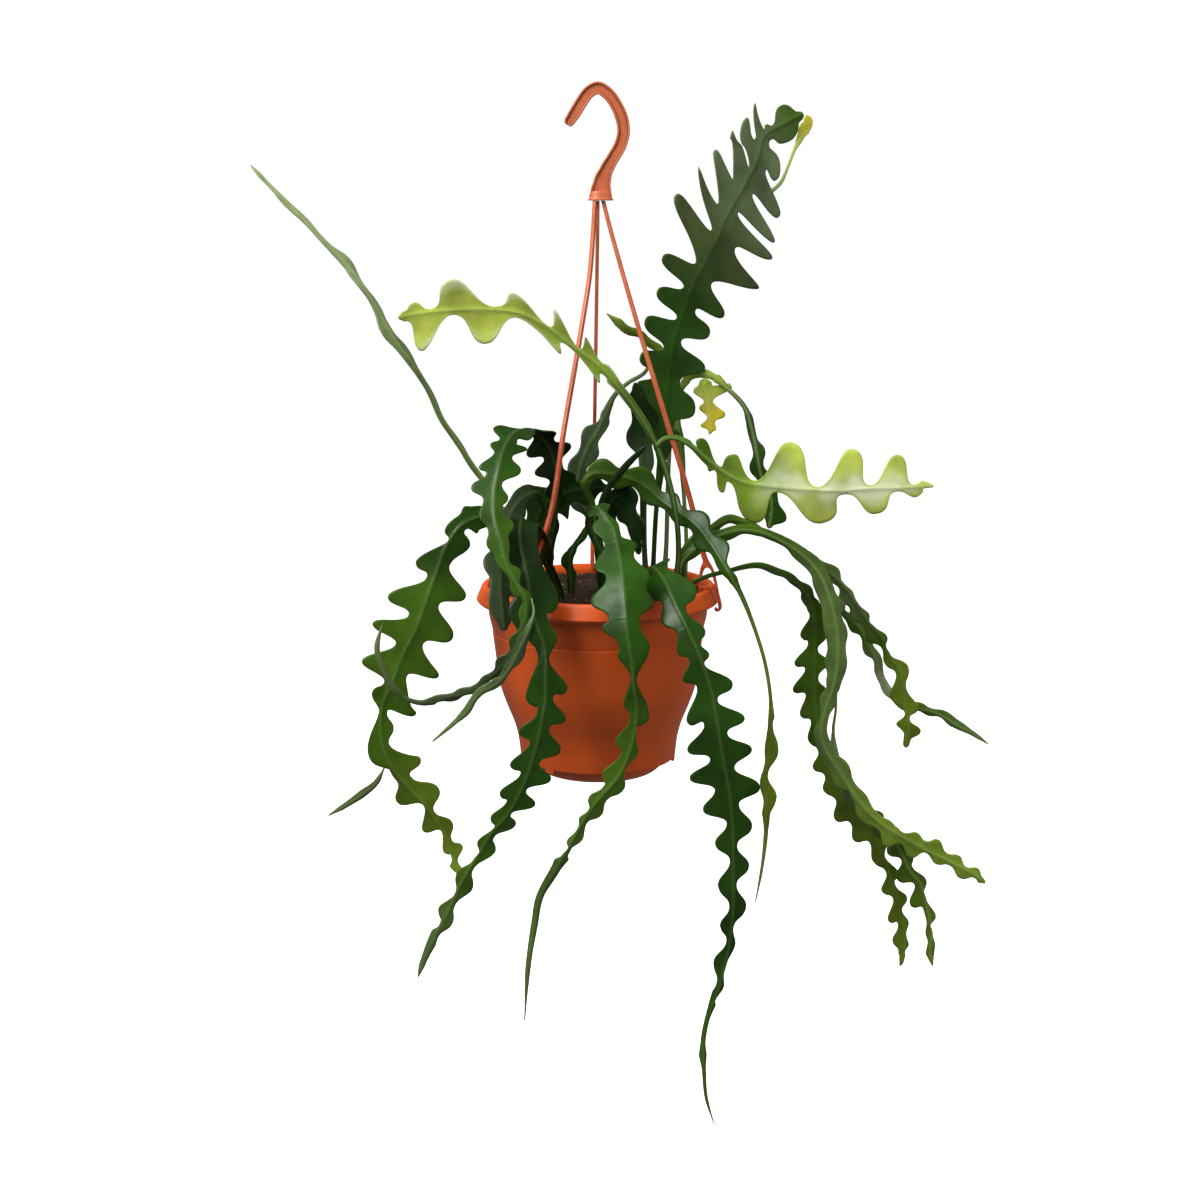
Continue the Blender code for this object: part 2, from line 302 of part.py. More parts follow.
               (18.7, 1.0, 1.7, 0.55, 0), (20.5, 1.0, 0.4, 0.70, 0), (22.2, 1.0, -1.5, 0.95, 0),
               (23.5, 1.0, -3.5, 1.00, 0),
               (25.0, 1.0, -5.3, 0.90, 0), (25.5, 1.0, -6.6, 0.70, 0), (26.5, 1.0, -8.1, 1.00, 0),
               (26.9, 1.0, -9.7, 1.20, 0), (27.0, 1.0, -11.1, 1.30, 0), (27.4, 1.0, -12.7, 1.30, 0),
               (27.2, 1.0, -15.0, 0.35, 0)]),
    "shoot_right_high": dict(
        tone="grey", sprout=("stem_right_high", 11, "right"), at=4, pitch=2.2, notch=0.5,
        route=[(21.4, 2.0, -2.9, 0.20, 0), (23.0, 2.4, -4.4, 0.70, 0), (23.8, 2.3, -5.8, 0.70, 0),
               (24.5, 2.2, -7.2, 0.50, 0), (25.1, 2.2, -9.1, 0.35, 0), (25.9, 2.3, -10.2, 0.60, 0),
               (26.8, 2.4, -11.3, 0.70, 0), (28.3, 2.4, -11.7, 0.55, 0), (30.0, 2.2, -12.1, 0.50, 0),
               (31.8, 2.0, -13.1, 0.42, 0), (33.5, 2.0, -14.1, 0.22, 0), (34.8, 2.0, -15.0, 0.06, 0)]),
    "stem_back_rising": dict(
        tone="grey", at=3, pitch=3.0, notch=0.5,
        route=[(0.6, 3.4, -0.9, 0.30, 0), (0.2, 3.4, 3.0, 0.26, 0), (-1.8, 3.3, 8.4, 1.20, 0),
               (-0.9, 3.5, 11.3, 1.30, 0), (0.0, 4.0, 12.8, 1.00, 0), (0.8, 4.5, 14.5, 0.35, 0),
               (1.4, 5.0, 15.7, 0.22, 0), (2.6, 5.5, 16.8, 0.18, 0), (4.1, 6.0, 17.7, 0.18, 0),
               (4.8, 6.4, 18.8, 0.06, 0)]),
    "stem_centre_dark": dict(
        tone="shade", at=5, pitch=3.6, notch=0.6,
        route=[(4.2, 0.5, -0.9, 0.30, 0), (4.0, 0.4, 3.0, 0.24, 0), (3.9, 0.4, 7.2, 0.30, 0),
               (4.0, 0.4, 9.8, 0.60, 0), (3.8, 0.4, 12.3, 1.30, 0), (3.7, 0.2, 14.5, 1.40, 0),
               (3.5, 0.0, 16.2, 1.00, 0), (3.1, 0.0, 17.3, 0.20, 0)]),
    "stem_centre_right": dict(
        tone="shade", at=3, pitch=2.6, notch=0.5,
        route=[(1.5, 1.3, -0.9, 0.30, 0), (1.2, 1.1, 3.0, 0.50, 0), (1.1, 0.5, 6.0, 1.10, 0),
               (1.5, 0.0, 7.4, 1.50, 0), (2.3, -0.4, 7.2, 1.60, 0), (2.8, -0.8, 5.9, 1.60, 0),
               (3.2, -1.1, 4.3, 1.30, 0), (3.5, -1.3, 2.7, 0.40, 0)]),
    "stem_centre_left": dict(
        tone="shade", at=3, pitch=2.8, notch=0.5,
        route=[(-5.0, 1.8, -0.9, 0.30, 0), (-5.2, 1.7, 3.0, 0.80, 0), (-5.1, 1.5, 5.6, 2.10, 0),
               (-4.0, 1.3, 7.1, 2.10, 0), (-2.6, 1.0, 7.7, 1.70, 0), (-1.1, 0.8, 8.0, 1.50, 0),
               (0.3, 0.8, 8.2, 0.80, 0), (0.9, 0.8, 8.3, 0.20, 0)]),
    "stem_centre_thin": dict(
        tone="shade", at=2, pitch=3.0,
        route=[(0.3, -1.0, -0.9, 0.30, 0), (0.0, -1.4, 4.0, 0.30, 0), (0.6, -1.9, 8.0, 0.30, 0),
               (2.3, -2.4, 10.4, 0.30, 0), (4.0, -2.9, 12.2, 0.20, 0)]),
    "stem_centre_short": dict(
        tone="shade", at=3, pitch=2.0,
        route=[(-2.3, -2.0, -0.9, 0.30, 0), (-2.3, -2.0, 0.3, 0.32, 0), (-2.4, -1.9, 1.6, 0.80, 0),
               (-2.4, -1.9, 2.6, 0.60, 0),
               (-2.0, -1.8, 3.5, 0.25, 0), (-1.2, -1.7, 4.5, 0.35, 0), (-0.9, -1.7, 5.5, 0.08, 0)]),
}

# Colour, as linear red, green and blue, and roughness of each material.
COLOURS = {
    "pot": ((0.290, 0.052, 0.010), 0.42),
    "hanger": ((0.760, 0.185, 0.075), 0.38),
    "soil": ((0.022, 0.011, 0.006), 0.95),
    "dark": ((0.018, 0.075, 0.006), 0.40),
    "mid": ((0.055, 0.160, 0.018), 0.42),
    "light": ((0.210, 0.380, 0.035), 0.40),
    "olive": ((0.300, 0.280, 0.012), 0.45),
    "grey": ((0.065, 0.120, 0.045), 0.50),
    "shade": ((0.010, 0.035, 0.006), 0.45),
}


def clear_scene():
    for thing in list(bpy.data.objects):
        bpy.data.objects.remove(thing, do_unlink=True)


def material_for(name, colour_key):
    """A Principled material for one object."""
    colour, roughness = COLOURS[colour_key]
    material = bpy.data.materials.new(name)
    material.use_nodes = True
    shader = material.node_tree.nodes["Principled BSDF"]
    shader.inputs["Base Color"].default_value = (*colour, 1.0)
    shader.inputs["Roughness"].default_value = roughness
    shader.inputs["Metallic"].default_value = 0.0
    return material


def add_object(name, vertices, faces, colour_key, smooth=True):
    """One closed mesh object, its faces turned outwards."""
    mesh = bpy.data.meshes.new(name)
    mesh.from_pydata([tuple(v) for v in vertices], [], faces)
    shell = bmesh.new()
    shell.from_mesh(mesh)
    bmesh.ops.recalc_face_normals(shell, faces=shell.faces)
    shell.to_mesh(mesh)
    shell.free()
    if smooth:
        mesh.shade_smooth()
        mesh.set_sharp_from_angle(angle=radians(35))
    thing = bpy.data.objects.new(name, mesh)
    thing.data.materials.append(material_for(name, colour_key))
    bpy.context.scene.collection.objects.link(thing)
    return thing


def from_rim(x, y, z, unit=CM):
    """A point given from the centre of the rim, in the part's own frame."""
    return Vector((x * unit, y * unit, z * unit - RIM_DROP))


# ---------------------------------------------------------------- pot, dish and soil

def turned(name, profile, colour_key):
    """A solid turned about Z. The profile, in millimetres from the rim plane, starts and ends on the
    axis."""
    vertices = [from_rim(0, 0, profile[0][1], MM)]
    rings = profile[1:-1]
    for radius, height in rings:
        for side in range(ROUND_SIDES):
            turn = 2 * pi * side / ROUND_SIDES
            vertices.append(from_rim(radius * cos(turn), radius * sin(turn), height, MM))
    vertices.append(from_rim(0, 0, profile[-1][1], MM))
    last = len(vertices) - 1
    faces = []
    for side in range(ROUND_SIDES):
        after = (side + 1) % ROUND_SIDES
        faces.append((0, 1 + side, 1 + after))
        for ring in range(len(rings) - 1):
            low = 1 + ring * ROUND_SIDES
            high = low + ROUND_SIDES
            faces.append((low + side, high + side, high + after, low + after))
        top = 1 + (len(rings) - 1) * ROUND_SIDES
        faces.append((top + side, last, top + after))
    return add_object(name, vertices, faces, colour_key)


def cut(thing, cutter):
    """Subtract a cutter, which the build leaves out."""
    cutter.hide_render = True
    cutter.display_type = "WIRE"
    modifier = thing.modifiers.new(cutter.name, "BOOLEAN")
    modifier.operation = "DIFFERENCE"
    modifier.solver = "EXACT"
    modifier.object = cutter


def join(thing, other):
    """Unite with another object, which the build then leaves out."""
    other.hide_render = True
    other.display_type = "WIRE"
    modifier = thing.modifiers.new(other.name, "BOOLEAN")
    modifier.operation = "UNION"
    modifier.solver = "EXACT"
    modifier.object = other


def prisms(name, axes, radius, sides, low, high):
    """Upright prisms at several places, in millimetres from the rim centre."""
    vertices = []
    faces = []
    for x, y in axes:
        first = len(vertices)
        for height in (low, high):
            for side in range(sides):
                turn = 2 * pi * (side + 0.5) / sides
                vertices.append(from_rim(x + radius * cos(turn), y + radius * sin(turn), height, MM))
        faces.append(tuple(range(first + sides - 1, first - 1, -1)))
        faces.append(tuple(range(first + sides, first + 2 * sides)))
        for side in range(sides):
            after = (side + 1) % sides
            faces.append((first + side, first + after, first + sides + after, first + sides + side))
    return add_object(name, vertices, faces, "soil", smooth=False)


def build_pot():
    inner = [
        (RIM_TOP_R - 3.6, 0.0), (NECK_R - WALL + 0.8, -4.5), (NECK_R - WALL, -26.0),
        (85.6 - WALL, -88.0), (79.6 - WALL, -105.0), (72.6 - WALL, -122.0),
        (69.2 - WALL, FLOOR_Z + WALL),
    ]
    outer = [
        (66.5 - WALL, FLOOR_Z), (66.2 - WALL, SKIRT_BOTTOM_Z), (67.6, SKIRT_BOTTOM_Z),
        (69.4, -135.0), (72.6, -122.0), (79.6, -105.0), (85.6, -88.0), (90.2, -50.0),
        (91.4, STEP_Z - 0.6), (91.4 - STEP_DEPTH, STEP_Z), (91.8 - STEP_DEPTH, STEP_Z + 1.2),
        (NECK_R, -26.0), (NECK_R + 0.4, -17.5), (LIP_R - 1.6, -LIP_DROP - 1.8),
        (LIP_R, -LIP_DROP), (RIM_TOP_R + 1.2, -1.4), (RIM_TOP_R, 0.0),
    ]
    profile = [(0, FLOOR_Z)] + outer + inner + [(0, FLOOR_Z + WALL)]
    pot = turned("pot", profile, "pot")
    drains = [(DRAIN_CIRCLE_R * cos(radians(turn)), DRAIN_CIRCLE_R * sin(radians(turn)))
              for turn in (30, 150, 270)]
    cut(pot, prisms("drain_cutter", drains, DRAIN_R, 12, FLOOR_Z - 3, FLOOR_Z + 6))
    for number, turn in enumerate(LUG_ANGLES):
        join(pot, lug(f"lug_{number}", radians(turn)))
    return pot


def lug(name, turn):
    """A small tab under the skirt, 9 mm wide, that keys the dish."""
    vertices = []
    for radius in (65.0, 67.4):
        for height in (SKIRT_BOTTOM_Z - 3.5, SKIRT_BOTTOM_Z + 2.0):
            for side in (-4.5, 4.5):
                x = radius * cos(turn) - side * sin(turn)
                y = radius * sin(turn) + side * cos(turn)
                vertices.append(from_rim(x, y, height, MM))
    faces = [(0, 1, 3, 2), (4, 6, 7, 5), (0, 4, 5, 1), (2, 3, 7, 6), (0, 2, 6, 4), (1, 5, 7, 3)]
    return add_object(name, vertices, faces, "pot", smooth=False)


def build_dish():
    rim_z = FLOOR_Z - GAP / MM
    outer = [
        (DISH_BASE_R, DISH_BASE_Z), (50.5, DISH_BASE_Z + 1.0), (55.5, DISH_BASE_Z + 5.0),
        (58.8, DISH_BASE_Z + 10.5), (DISH_R - 0.8, -149.0), (DISH_R, rim_z),
    ]
    inner = [
        (DISH_R - DISH_WALL, rim_z), (DISH_R - 0.8 - DISH_WALL, -149.0),
        (58.8 - DISH_WALL, DISH_BASE_Z + 11.0), (54.0, DISH_BASE_Z + 6.0),
        (49.5, DISH_BASE_Z + 2.8), (44.0, DISH_BASE_Z + DISH_WALL),
    ]
    profile = [(0, DISH_BASE_Z)] + outer + inner + [(0, DISH_BASE_Z + DISH_WALL)]
    return turned("drip_dish", profile, "pot")


def build_soil():
    clear = GAP / MM
    floor = FLOOR_Z + WALL + clear
    wall = WALL + clear + 0.15
    profile = [
        (0, floor), (69.0 - wall, floor), (72.4 - wall, -122.0), (79.2 - wall, -105.0),
        (85.2 - wall, -88.0), (NECK_R - wall - 0.2, -26.0), (NECK_R - wall, SOIL_Z),
        (55.0, SOIL_Z + 0.7 * SOIL_CROWN), (0, SOIL_Z + SOIL_CROWN),
    ]
    soil = turned("soil", profile, "soil")
    roots = [stem["route"][0][:2] for stem in STEMS.values() if "sprout" not in stem]
    axes = [(x * CM / MM, y * CM / MM) for x, y in roots]
    cut(soil, prisms("root_pockets", axes, POCKET_R, POCKET_SIDES, ROOT_Z - 1.0, 4.0))
    return soil


# ---------------------------------------------------------------- hanger

def smooth_line(points, spacing):
    """Samples about a spacing apart on a smooth curve through points of any number of values. The
    first three values, or the first two of a flat line, are the place."""
    size = 2 if len(points[0]) == 3 else 3
    places = [Vector(p[:size]).to_3d() for p in points]
    knots = [0.0]
    for here, there in zip(places, places[1:]):
        knots.append(knots[-1] + (there - here).length)
    slopes = []
    for i in range(len(points)):
        before = max(i - 1, 0)
        after = min(i + 1, len(points) - 1)
        if before == i or after == i:
            run = (places[after] - places[before]) / (knots[after] - knots[before])
        else:
            left = knots[i] - knots[before]
            right = knots[after] - knots[i]
            run = ((places[i] - places[before]) / left * right
                   + (places[after] - places[i]) / right * left) / (left + right)
        slopes.append(run)
    samples = []
    for i in range(len(points) - 1):
        span = knots[i + 1] - knots[i]
        count = max(1, ceil(span / spacing))
        for k in range(count + (i == len(points) - 2)):
            t = k / count
            place = ((2 * t**3 - 3 * t**2 + 1) * places[i] + (t**3 - 2 * t**2 + t) * span * slopes[i]
                     + (3 * t**2 - 2 * t**3) * places[i + 1] + (t**3 - t**2) * span * slopes[i + 1])
            ease = t * t * (3 - 2 * t)
            rest = [a + (b - a) * ease for a, b in zip(points[i][size:], points[i + 1][size:])]
            samples.append((place, knots[i] + t * span, rest))
    return samples


def hook_section(half_width):
    """Half of an I section: a flat web between raised borders, as width and depth."""
    half = HOOK_DEPTH / 2
    web = half - HOOK_RECESS
    inside = half_width - HOOK_BORDER
    return [(half_width, -half), (half_width, half), (inside, half), (inside - 0.05, web),
            (-inside + 0.05, web), (-inside, half), (-half_width, half), (-half_width, -half),
            (-inside, -half), (-inside + 0.05, -web), (inside - 0.05, -web), (inside, -half)]


def build_hook():
    samples = smooth_line(HOOK_LINE, 0.75)
    start, _, (width,) = samples[0]
    ahead = (samples[1][0] - start).normalized()
    rounded = [(start - ahead * 0.45 * s, 0.0, [width * c])
               for s, c in ((0.98, 0.38), (0.75, 0.70), (0.40, 0.93))]
    samples = rounded + samples
    vertices = []
    for i, (place, _, (width,)) in enumerate(samples):
        before = samples[max(i - 1, 0)][0]
        after = samples[min(i + 1, len(samples) - 1)][0]
        along = (after - before).normalized()
        across = Vector((along.y, -along.x, 0))
        for w, d in hook_section(width / 2):
            spot = place + across * w
            vertices.append(from_rim(spot.x, d, spot.y))
    sides = len(hook_section(1.0))
    faces = [tuple(range(sides))]
    for i in range(len(samples) - 1):
        for side in range(sides):
            after = (side + 1) % sides
            low = i * sides
            faces.append((low + side, low + after, low + sides + after, low + sides + side))
    faces.append(tuple(range(len(vertices) - sides, len(vertices)))[::-1])
    hook = add_object("hook", vertices, faces, "hanger")
    join(hook, collar())
    return hook


def collar():
    """The foot of the hook, an oval block with a small lip, from which the strands run down."""
    sides = 16
    levels = [(COLLAR_BOTTOM, 1.0), (COLLAR_BOTTOM + 0.12, 1.0), (COLLAR_BOTTOM + 0.16, 0.9),
              (COLLAR_BOTTOM + 0.75, 0.80)]
    vertices = []
    for height, scale in levels:
        for side in range(sides):
            turn = 2 * pi * side / sides
            x = 0.22 + COLLAR_HALF[0] * scale * cos(turn)
            y = COLLAR_HALF[1] * scale * sin(turn)
            vertices.append(from_rim(x, y, height))
    faces = [tuple(range(sides))[::-1], tuple(range(len(vertices) - sides, len(vertices)))]
    for level in range(len(levels) - 1):
        for side in range(sides):
            after = (side + 1) % sides
            low = level * sides
            faces.append((low + side, low + after, low + sides + after, low + sides + side))
    return add_object("collar", vertices, faces, "hanger", smooth=False)


def strand_outline(line):
    """Outline of a strand and its forked clip in the plane of distance from the axis and height."""
    points = [(STRAND_TOP_R, STRAND_TOP_Z)] + line + [(FORK_R - 0.38, FORK_Z + 1.3), (FORK_R, FORK_Z)]
    inner = []
    outer = []
    for i, (r, z) in enumerate(points):
        before = points[max(i - 1, 0)]
        after = points[min(i + 1, len(points) - 1)]
        along = Vector((after[0] - before[0], after[1] - before[1])).normalized()
        share = (STRAND_TOP_Z - z) / (STRAND_TOP_Z - FORK_Z)
        half = (STRAND_TOP_WIDTH + (STRAND_LOW_WIDTH - STRAND_TOP_WIDTH) * share) / 2
        if i == 0:
            inner.append((r - half, z))
            outer.append((r + half, z))
        elif i < len(points) - 1:
            inner.append((r + along.y * half, z - along.x * half))
            outer.append((r - along.y * half, z + along.x * half))
    inner_leg = [
        (9.36, 2.45), (9.20, 1.95), (9.08, 1.45), (9.02, 0.85), (9.00, 0.10), (9.02, -0.45),
        (9.22, -0.45), (9.27, -0.05), (9.42, 0.04),
    ]
    crotch = [(9.95, 0.04)]
    outer_leg = [
        (10.14, 0.12), (10.34, 0.00), (10.54, -0.45), (10.72, -1.20), (10.75, -1.48),
        (10.66, -1.62), (10.58, -1.60), (10.56, -1.46), (10.42, -1.52), (10.44, -1.72),
        (10.62, -1.84), (10.86, -1.78), (11.00, -1.50), (10.98, -1.15), (10.78, -0.35),
        (10.62, 0.40), (10.50, 0.95), (10.36, 1.45), (10.15, 1.95), (9.84, 2.45),
    ]
    return inner + inner_leg + crotch + outer_leg + outer[::-1]


def plate(name, outline, azimuth, thick):
    """An upright plate that lies along an azimuth, from its outline in that plane."""
    turn = radians(azimuth)
    vertices = []
    for side in (-thick / 2, thick / 2):
        for r, z in outline:
            vertices.append(from_rim(r * cos(turn) - side * sin(turn),
                                     r * sin(turn) + side * cos(turn), z))
    count = len(outline)
    faces = [tuple(range(count)), tuple(range(2 * count - 1, count - 1, -1))]
    for i in range(count):
        after = (i + 1) % count
        faces.append((i, i + count, after + count, after))
    return add_object(name, vertices, faces, "hanger", smooth=False)


def build_strand(name, azimuth, line):
    strand = plate(name, strand_outline(line), azimuth, STRAND_THICK)
    cut(strand, plate(name + "_eye", CLIP_EYE, azimuth, 2 * STRAND_THICK))
    return strand


# ---------------------------------------------------------------- stems

class Blade:
    """A stem's midrib, its frames and the reach of its two edges."""

    def __init__(self, stem, blades):
        route = [(*from_rim(x, y, z), reach * CM, radians(twist))
                 for x, y, z, reach, twist in stem["route"]]
        if "sprout" in stem:
            start = blades[stem["sprout"][0]].edge_point(stem["sprout"][1], stem["sprout"][2])
            route.insert(0, (*start, SPROUT_REACH, route[0][4]))
        else:
            x, y, z, reach, twist = route[0]
            root = ROOT_Z * MM - RIM_DROP
            route[:1] = [(x, y, root, reach, twist), (x, y, (root + z) / 2, reach, twist),
                         (x, y, z, reach, twist)]
        shift = len(route) - len(stem["route"])
        self.route_points = [Vector(point[:3]) for point in route[shift:]]
        samples = smooth_line(route, FINE)
        self.centres = [place for place, _, _ in samples]
        self.runs = [run for _, run, _ in samples]
        self.reaches = [rest[0] for _, _, rest in samples]
        twists = [rest[1] for _, _, rest in samples]
        target = Vector(route[stem["at"] + shift][:3])
        anchor = min(range(len(samples)), key=lambda i: (self.centres[i] - target).length)
        self.make_frames(Vector(stem.get("face", FRONT)), anchor, twists)
        self.notch = stem.get("notch", 0.4)
        self.full = stem.get("full", 1.2)
        self.lean = stem.get("lean", (0.0, 0.0))
        self.set_lobes(stem)

    def make_frames(self, face, anchor, twists):
        """Carry a frame along the midrib without turning it, then turn it so that it looks the
        given way at the anchor, and add the twists."""
        last = len(self.centres) - 1
        self.alongs = []
        for i in range(last + 1):
            step = self.centres[min(i + 1, last)] - self.centres[max(i - 1, 0)]
            self.alongs.append(step.normalized())
        normal = self.alongs[0].orthogonal().normalized()
        normals = []
        for i in range(last + 1):
            if i:
                normal = self.alongs[i - 1].rotation_difference(self.alongs[i]) @ normal
            normal = (normal - self.alongs[i] * normal.dot(self.alongs[i])).normalized()
            normals.append(normal)
        along = self.alongs[anchor]
        wanted = (face - along * face.dot(along)).normalized()
        sideways = along.cross(normals[anchor])
        turn = atan2(wanted.dot(sideways), wanted.dot(normals[anchor]))
        self.faces = [Quaternion(self.alongs[i], turn + twists[i] - twists[anchor]) @ normals[i]
                      for i in range(last + 1)]
        self.rights = [self.alongs[i].cross(self.faces[i]) for i in range(last + 1)]

    def set_lobes(self, stem):
        """Where the lobes of each edge leave the midrib, as distances along it, and their reach."""
        self.tips = {"right": [], "left": []}
        for x, z in stem.get("tips", ()):
            run, reach = self.lobe_at(x * CM, z * CM - RIM_DROP)
            self.tips["right" if reach > 0 else "left"].append((run, abs(reach)))
        if "tips" not in stem:
            pitch = stem["pitch"] * CM
            for k in range(int(self.runs[-1] / pitch)):
                self.tips["right"].append((pitch * (k + 0.5), None))
                self.tips["left"].append((pitch * (k + 1.0), None))
        for side in self.tips.values():
            side.sort(key=lambda tip: tip[0])

    def lobe_at(self, x, z):
        """How far along the midrib a lobe with its tip at x, z leaves, and its reach, which is
        negative on the left edge."""
        best = None
        for centre, right, run, limit in zip(self.centres, self.rights, self.runs, self.reaches):
            if limit <= STALK_REACH:
                continue
            flat = right.x**2 + right.z**2
            reach = ((x - centre.x) * right.x + (z - centre.z) * right.z) / flat
            miss = (x - centre.x - reach * right.x)**2 + (z - centre.z - reach * right.z)**2
            miss += 0.01 * reach**2
            if best is None or miss < best[0]:
                best = (miss, run, reach)
        slope = self.lean[0 if best[2] > 0 else 1]
        return best[1] - slope * abs(best[2]), best[2]

    def reach(self, i, side):
        """How far an edge stands from the midrib at sample i."""
        full_reach = self.reaches[i]
        if full_reach <= STALK_REACH:
            return full_reach
        low = max(NOTCH_REACH, full_reach * self.notch)
        tips = self.tips[side]
        if len(tips) < 2:
            return low
        here = self.runs[i]
        nearest = min(range(len(tips)), key=lambda k: abs(tips[k][0] - here))
        step = 1 if here > tips[nearest][0] else -1
        other = nearest + step
        if not 0 <= other < len(tips):
            other = nearest - step
        half = abs(tips[other][0] - tips[nearest][0]) / 2
        away = min(abs(here - tips[nearest][0]) / half, 1.0) ** self.full
        top = tips[nearest][1] or full_reach
        return low + (max(top, low) - low) * (0.5 + 0.5 * cos(pi * away))

    def edge(self, i, side):
        """The point of an edge at sample i. A lobe that leans reaches further along the stem."""
        sign, slope = (1, self.lean[0]) if side == "right" else (-1, self.lean[1])
        reach = self.reach(i, side)
        return self.centres[i] + self.rights[i] * sign * reach + self.alongs[i] * slope * reach

    def edge_point(self, number, side):
        """Where a side shoot starts: just off an edge, beside a route point."""
        target = self.route_points[number]
        i = min(range(len(self.runs)), key=lambda k: (self.centres[k] - target).length)
        sign = 1 if side == "right" else -1
        return self.edge(i, side) + self.rights[i] * sign * SPROUT_GAP

    def sections(self):
        """The samples at which the solid gets a cross-section."""
        chosen = [0]
        last = len(self.runs) - 1
        for i in range(1, last):
            lobed = self.reaches[i] > STALK_REACH
            step = LOBED_STEP if lobed else STALK_STEP
            if self.runs[i] - self.runs[chosen[-1]] >= step:
                chosen.append(i)
        if self.runs[last] - self.runs[chosen[-1]] < 0.4 * LOBED_STEP:
            chosen.pop()
        return chosen + [last]


def build_stem(name, stem, blades):
    """A blade with a rhombic section, thick at the midrib and thin at its lobed edges."""
    blade = Blade(stem, blades)
    blades[name] = blade
    vertices = []
    chosen = blade.sections()
    for i in chosen:
        half_thick = min(max(0.65 * blade.reaches[i], 0.05 * CM), 0.19 * CM)
        centre = blade.centres[i]
        vertices += [
            blade.edge(i, "right"),
            centre + blade.faces[i] * half_thick,
            blade.edge(i, "left"),
            centre - blade.faces[i] * half_thick,
        ]
    faces = [(0, 1, 2, 3)]
    for k in range(len(chosen) - 1):
        for side in range(4):
            after = (side + 1) % 4
            low = 4 * k
            faces.append((low + side, low + after, low + 4 + after))
            faces.append((low + side, low + 4 + after, low + 4 + side))
    end = len(vertices)
    faces.append((end - 1, end - 2, end - 3, end - 4))
    return add_object(name, vertices, faces, stem["tone"], smooth=False)


def main():
    clear_scene()
    build_pot()
    build_dish()
    build_soil()
    build_hook()
    for name, (azimuth, line) in STRANDS.items():
        build_strand(name, azimuth, line)
    blades = {}
    for name, stem in STEMS.items():
        build_stem(name, stem, blades)


main()
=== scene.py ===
"""Fishbone cactus in a hanging pot: the looks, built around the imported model.

Routes and sizes follow those of the CAD part. Some tips are a little finer here, and a side shoot
starts inside its parent, where the CAD part leaves a gap. They are in centimetres from the centre of
the pot's rim, +Z up, unless a comment says otherwise; profiles of turned pieces are in millimetres.
"""
from collections import namedtuple
from math import atan2, cos, pi, radians, sin, sqrt

import bmesh
import bpy
import numpy as np
from mathutils import Matrix, Quaternion, Vector
from mathutils.geometry import tessellate_polygon


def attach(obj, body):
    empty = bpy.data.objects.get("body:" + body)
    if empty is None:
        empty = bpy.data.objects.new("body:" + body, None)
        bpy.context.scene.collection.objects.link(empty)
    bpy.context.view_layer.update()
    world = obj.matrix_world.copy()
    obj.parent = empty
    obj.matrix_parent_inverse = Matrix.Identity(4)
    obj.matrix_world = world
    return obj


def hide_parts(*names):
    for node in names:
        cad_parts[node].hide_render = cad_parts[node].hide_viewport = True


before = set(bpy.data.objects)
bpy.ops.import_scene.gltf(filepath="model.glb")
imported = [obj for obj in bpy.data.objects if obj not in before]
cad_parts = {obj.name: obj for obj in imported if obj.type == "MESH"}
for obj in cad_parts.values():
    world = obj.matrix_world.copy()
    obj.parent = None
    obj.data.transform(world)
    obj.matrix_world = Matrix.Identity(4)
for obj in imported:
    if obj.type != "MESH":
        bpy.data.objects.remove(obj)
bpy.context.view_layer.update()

CM = 0.01
MM = 0.001
RIM_DROP = 41.0                    # from the hook's bearing point down to the rim plane

# Stems
FRONT = (0.0, -1.0, 0.0)
SOIL_LEVEL = -0.9                  # routes of stems that stand in the soil start at this height
ROOT_Z = -1.9                      # and their roots reach down to this one
STALK_REACH = 0.42                 # a stalk reaches no further than this from its midrib
NOTCH_REACH = 0.26                 # the least that a notch leaves beside the midrib
LEAST_REACH = 0.14                 # the same where the edge is given point by point
BROAD = 1.8                        # a stem that reaches further than this gets a finer mesh
BROAD_COLUMNS = (0.0, 0.05, 0.12, 0.22, 0.38, 0.56, 0.74, 0.88, 0.96, 1.0)
SLIM_COLUMNS = (0.0, 0.12, 0.28, 0.50, 0.74, 0.92, 1.0)
ROUTE_STEP = 0.1                   # spacing of the samples along a midrib
EDGE_STEP = 0.05                   # and along the outline
ROW_GAP = 0.035                    # the least distance between two rows of the mesh
RIB_WIDTH = 0.17                   # how far the midrib's swelling reaches
EDGE_ROUND = 0.08                  # width of the rounding at the blade's rim

# Hanger: the hook's centre line and width, and each strand's azimuth, distance from the axis and
# height.
HOOK_LINE = [
    (-2.30, 38.90, 0.90), (-1.90, 39.50, 1.00), (-1.30, 40.45, 1.00), (-0.75, 41.15, 1.00),
    (0.00, 41.50, 1.00), (0.75, 41.10, 1.00), (1.45, 40.20, 1.00), (1.95, 39.10, 1.05),
    (2.12, 38.00, 1.05), (1.85, 36.90, 1.05), (1.25, 35.85, 1.05), (0.70, 34.90, 1.15),
    (0.35, 33.95, 1.45), (0.24, 33.10, 1.75), (0.22, 32.70, 1.90),
]
HOOK_HALF_DEPTH = 0.30
HOOK_END_WIDTH = 0.30
COLLAR_LEVELS = (                  # height and scale
    (32.40, 0.96), (32.42, 0.99), (32.45, 1.0), (32.50, 1.0), (32.54, 0.98), (32.56, 0.92),
    (32.60, 0.90), (32.90, 0.865), (33.10, 0.82), (33.15, 0.79))
COLLAR_X = 0.22
COLLAR_HALF = (1.05, 0.75)
STRAND_TOP_Z = 32.37
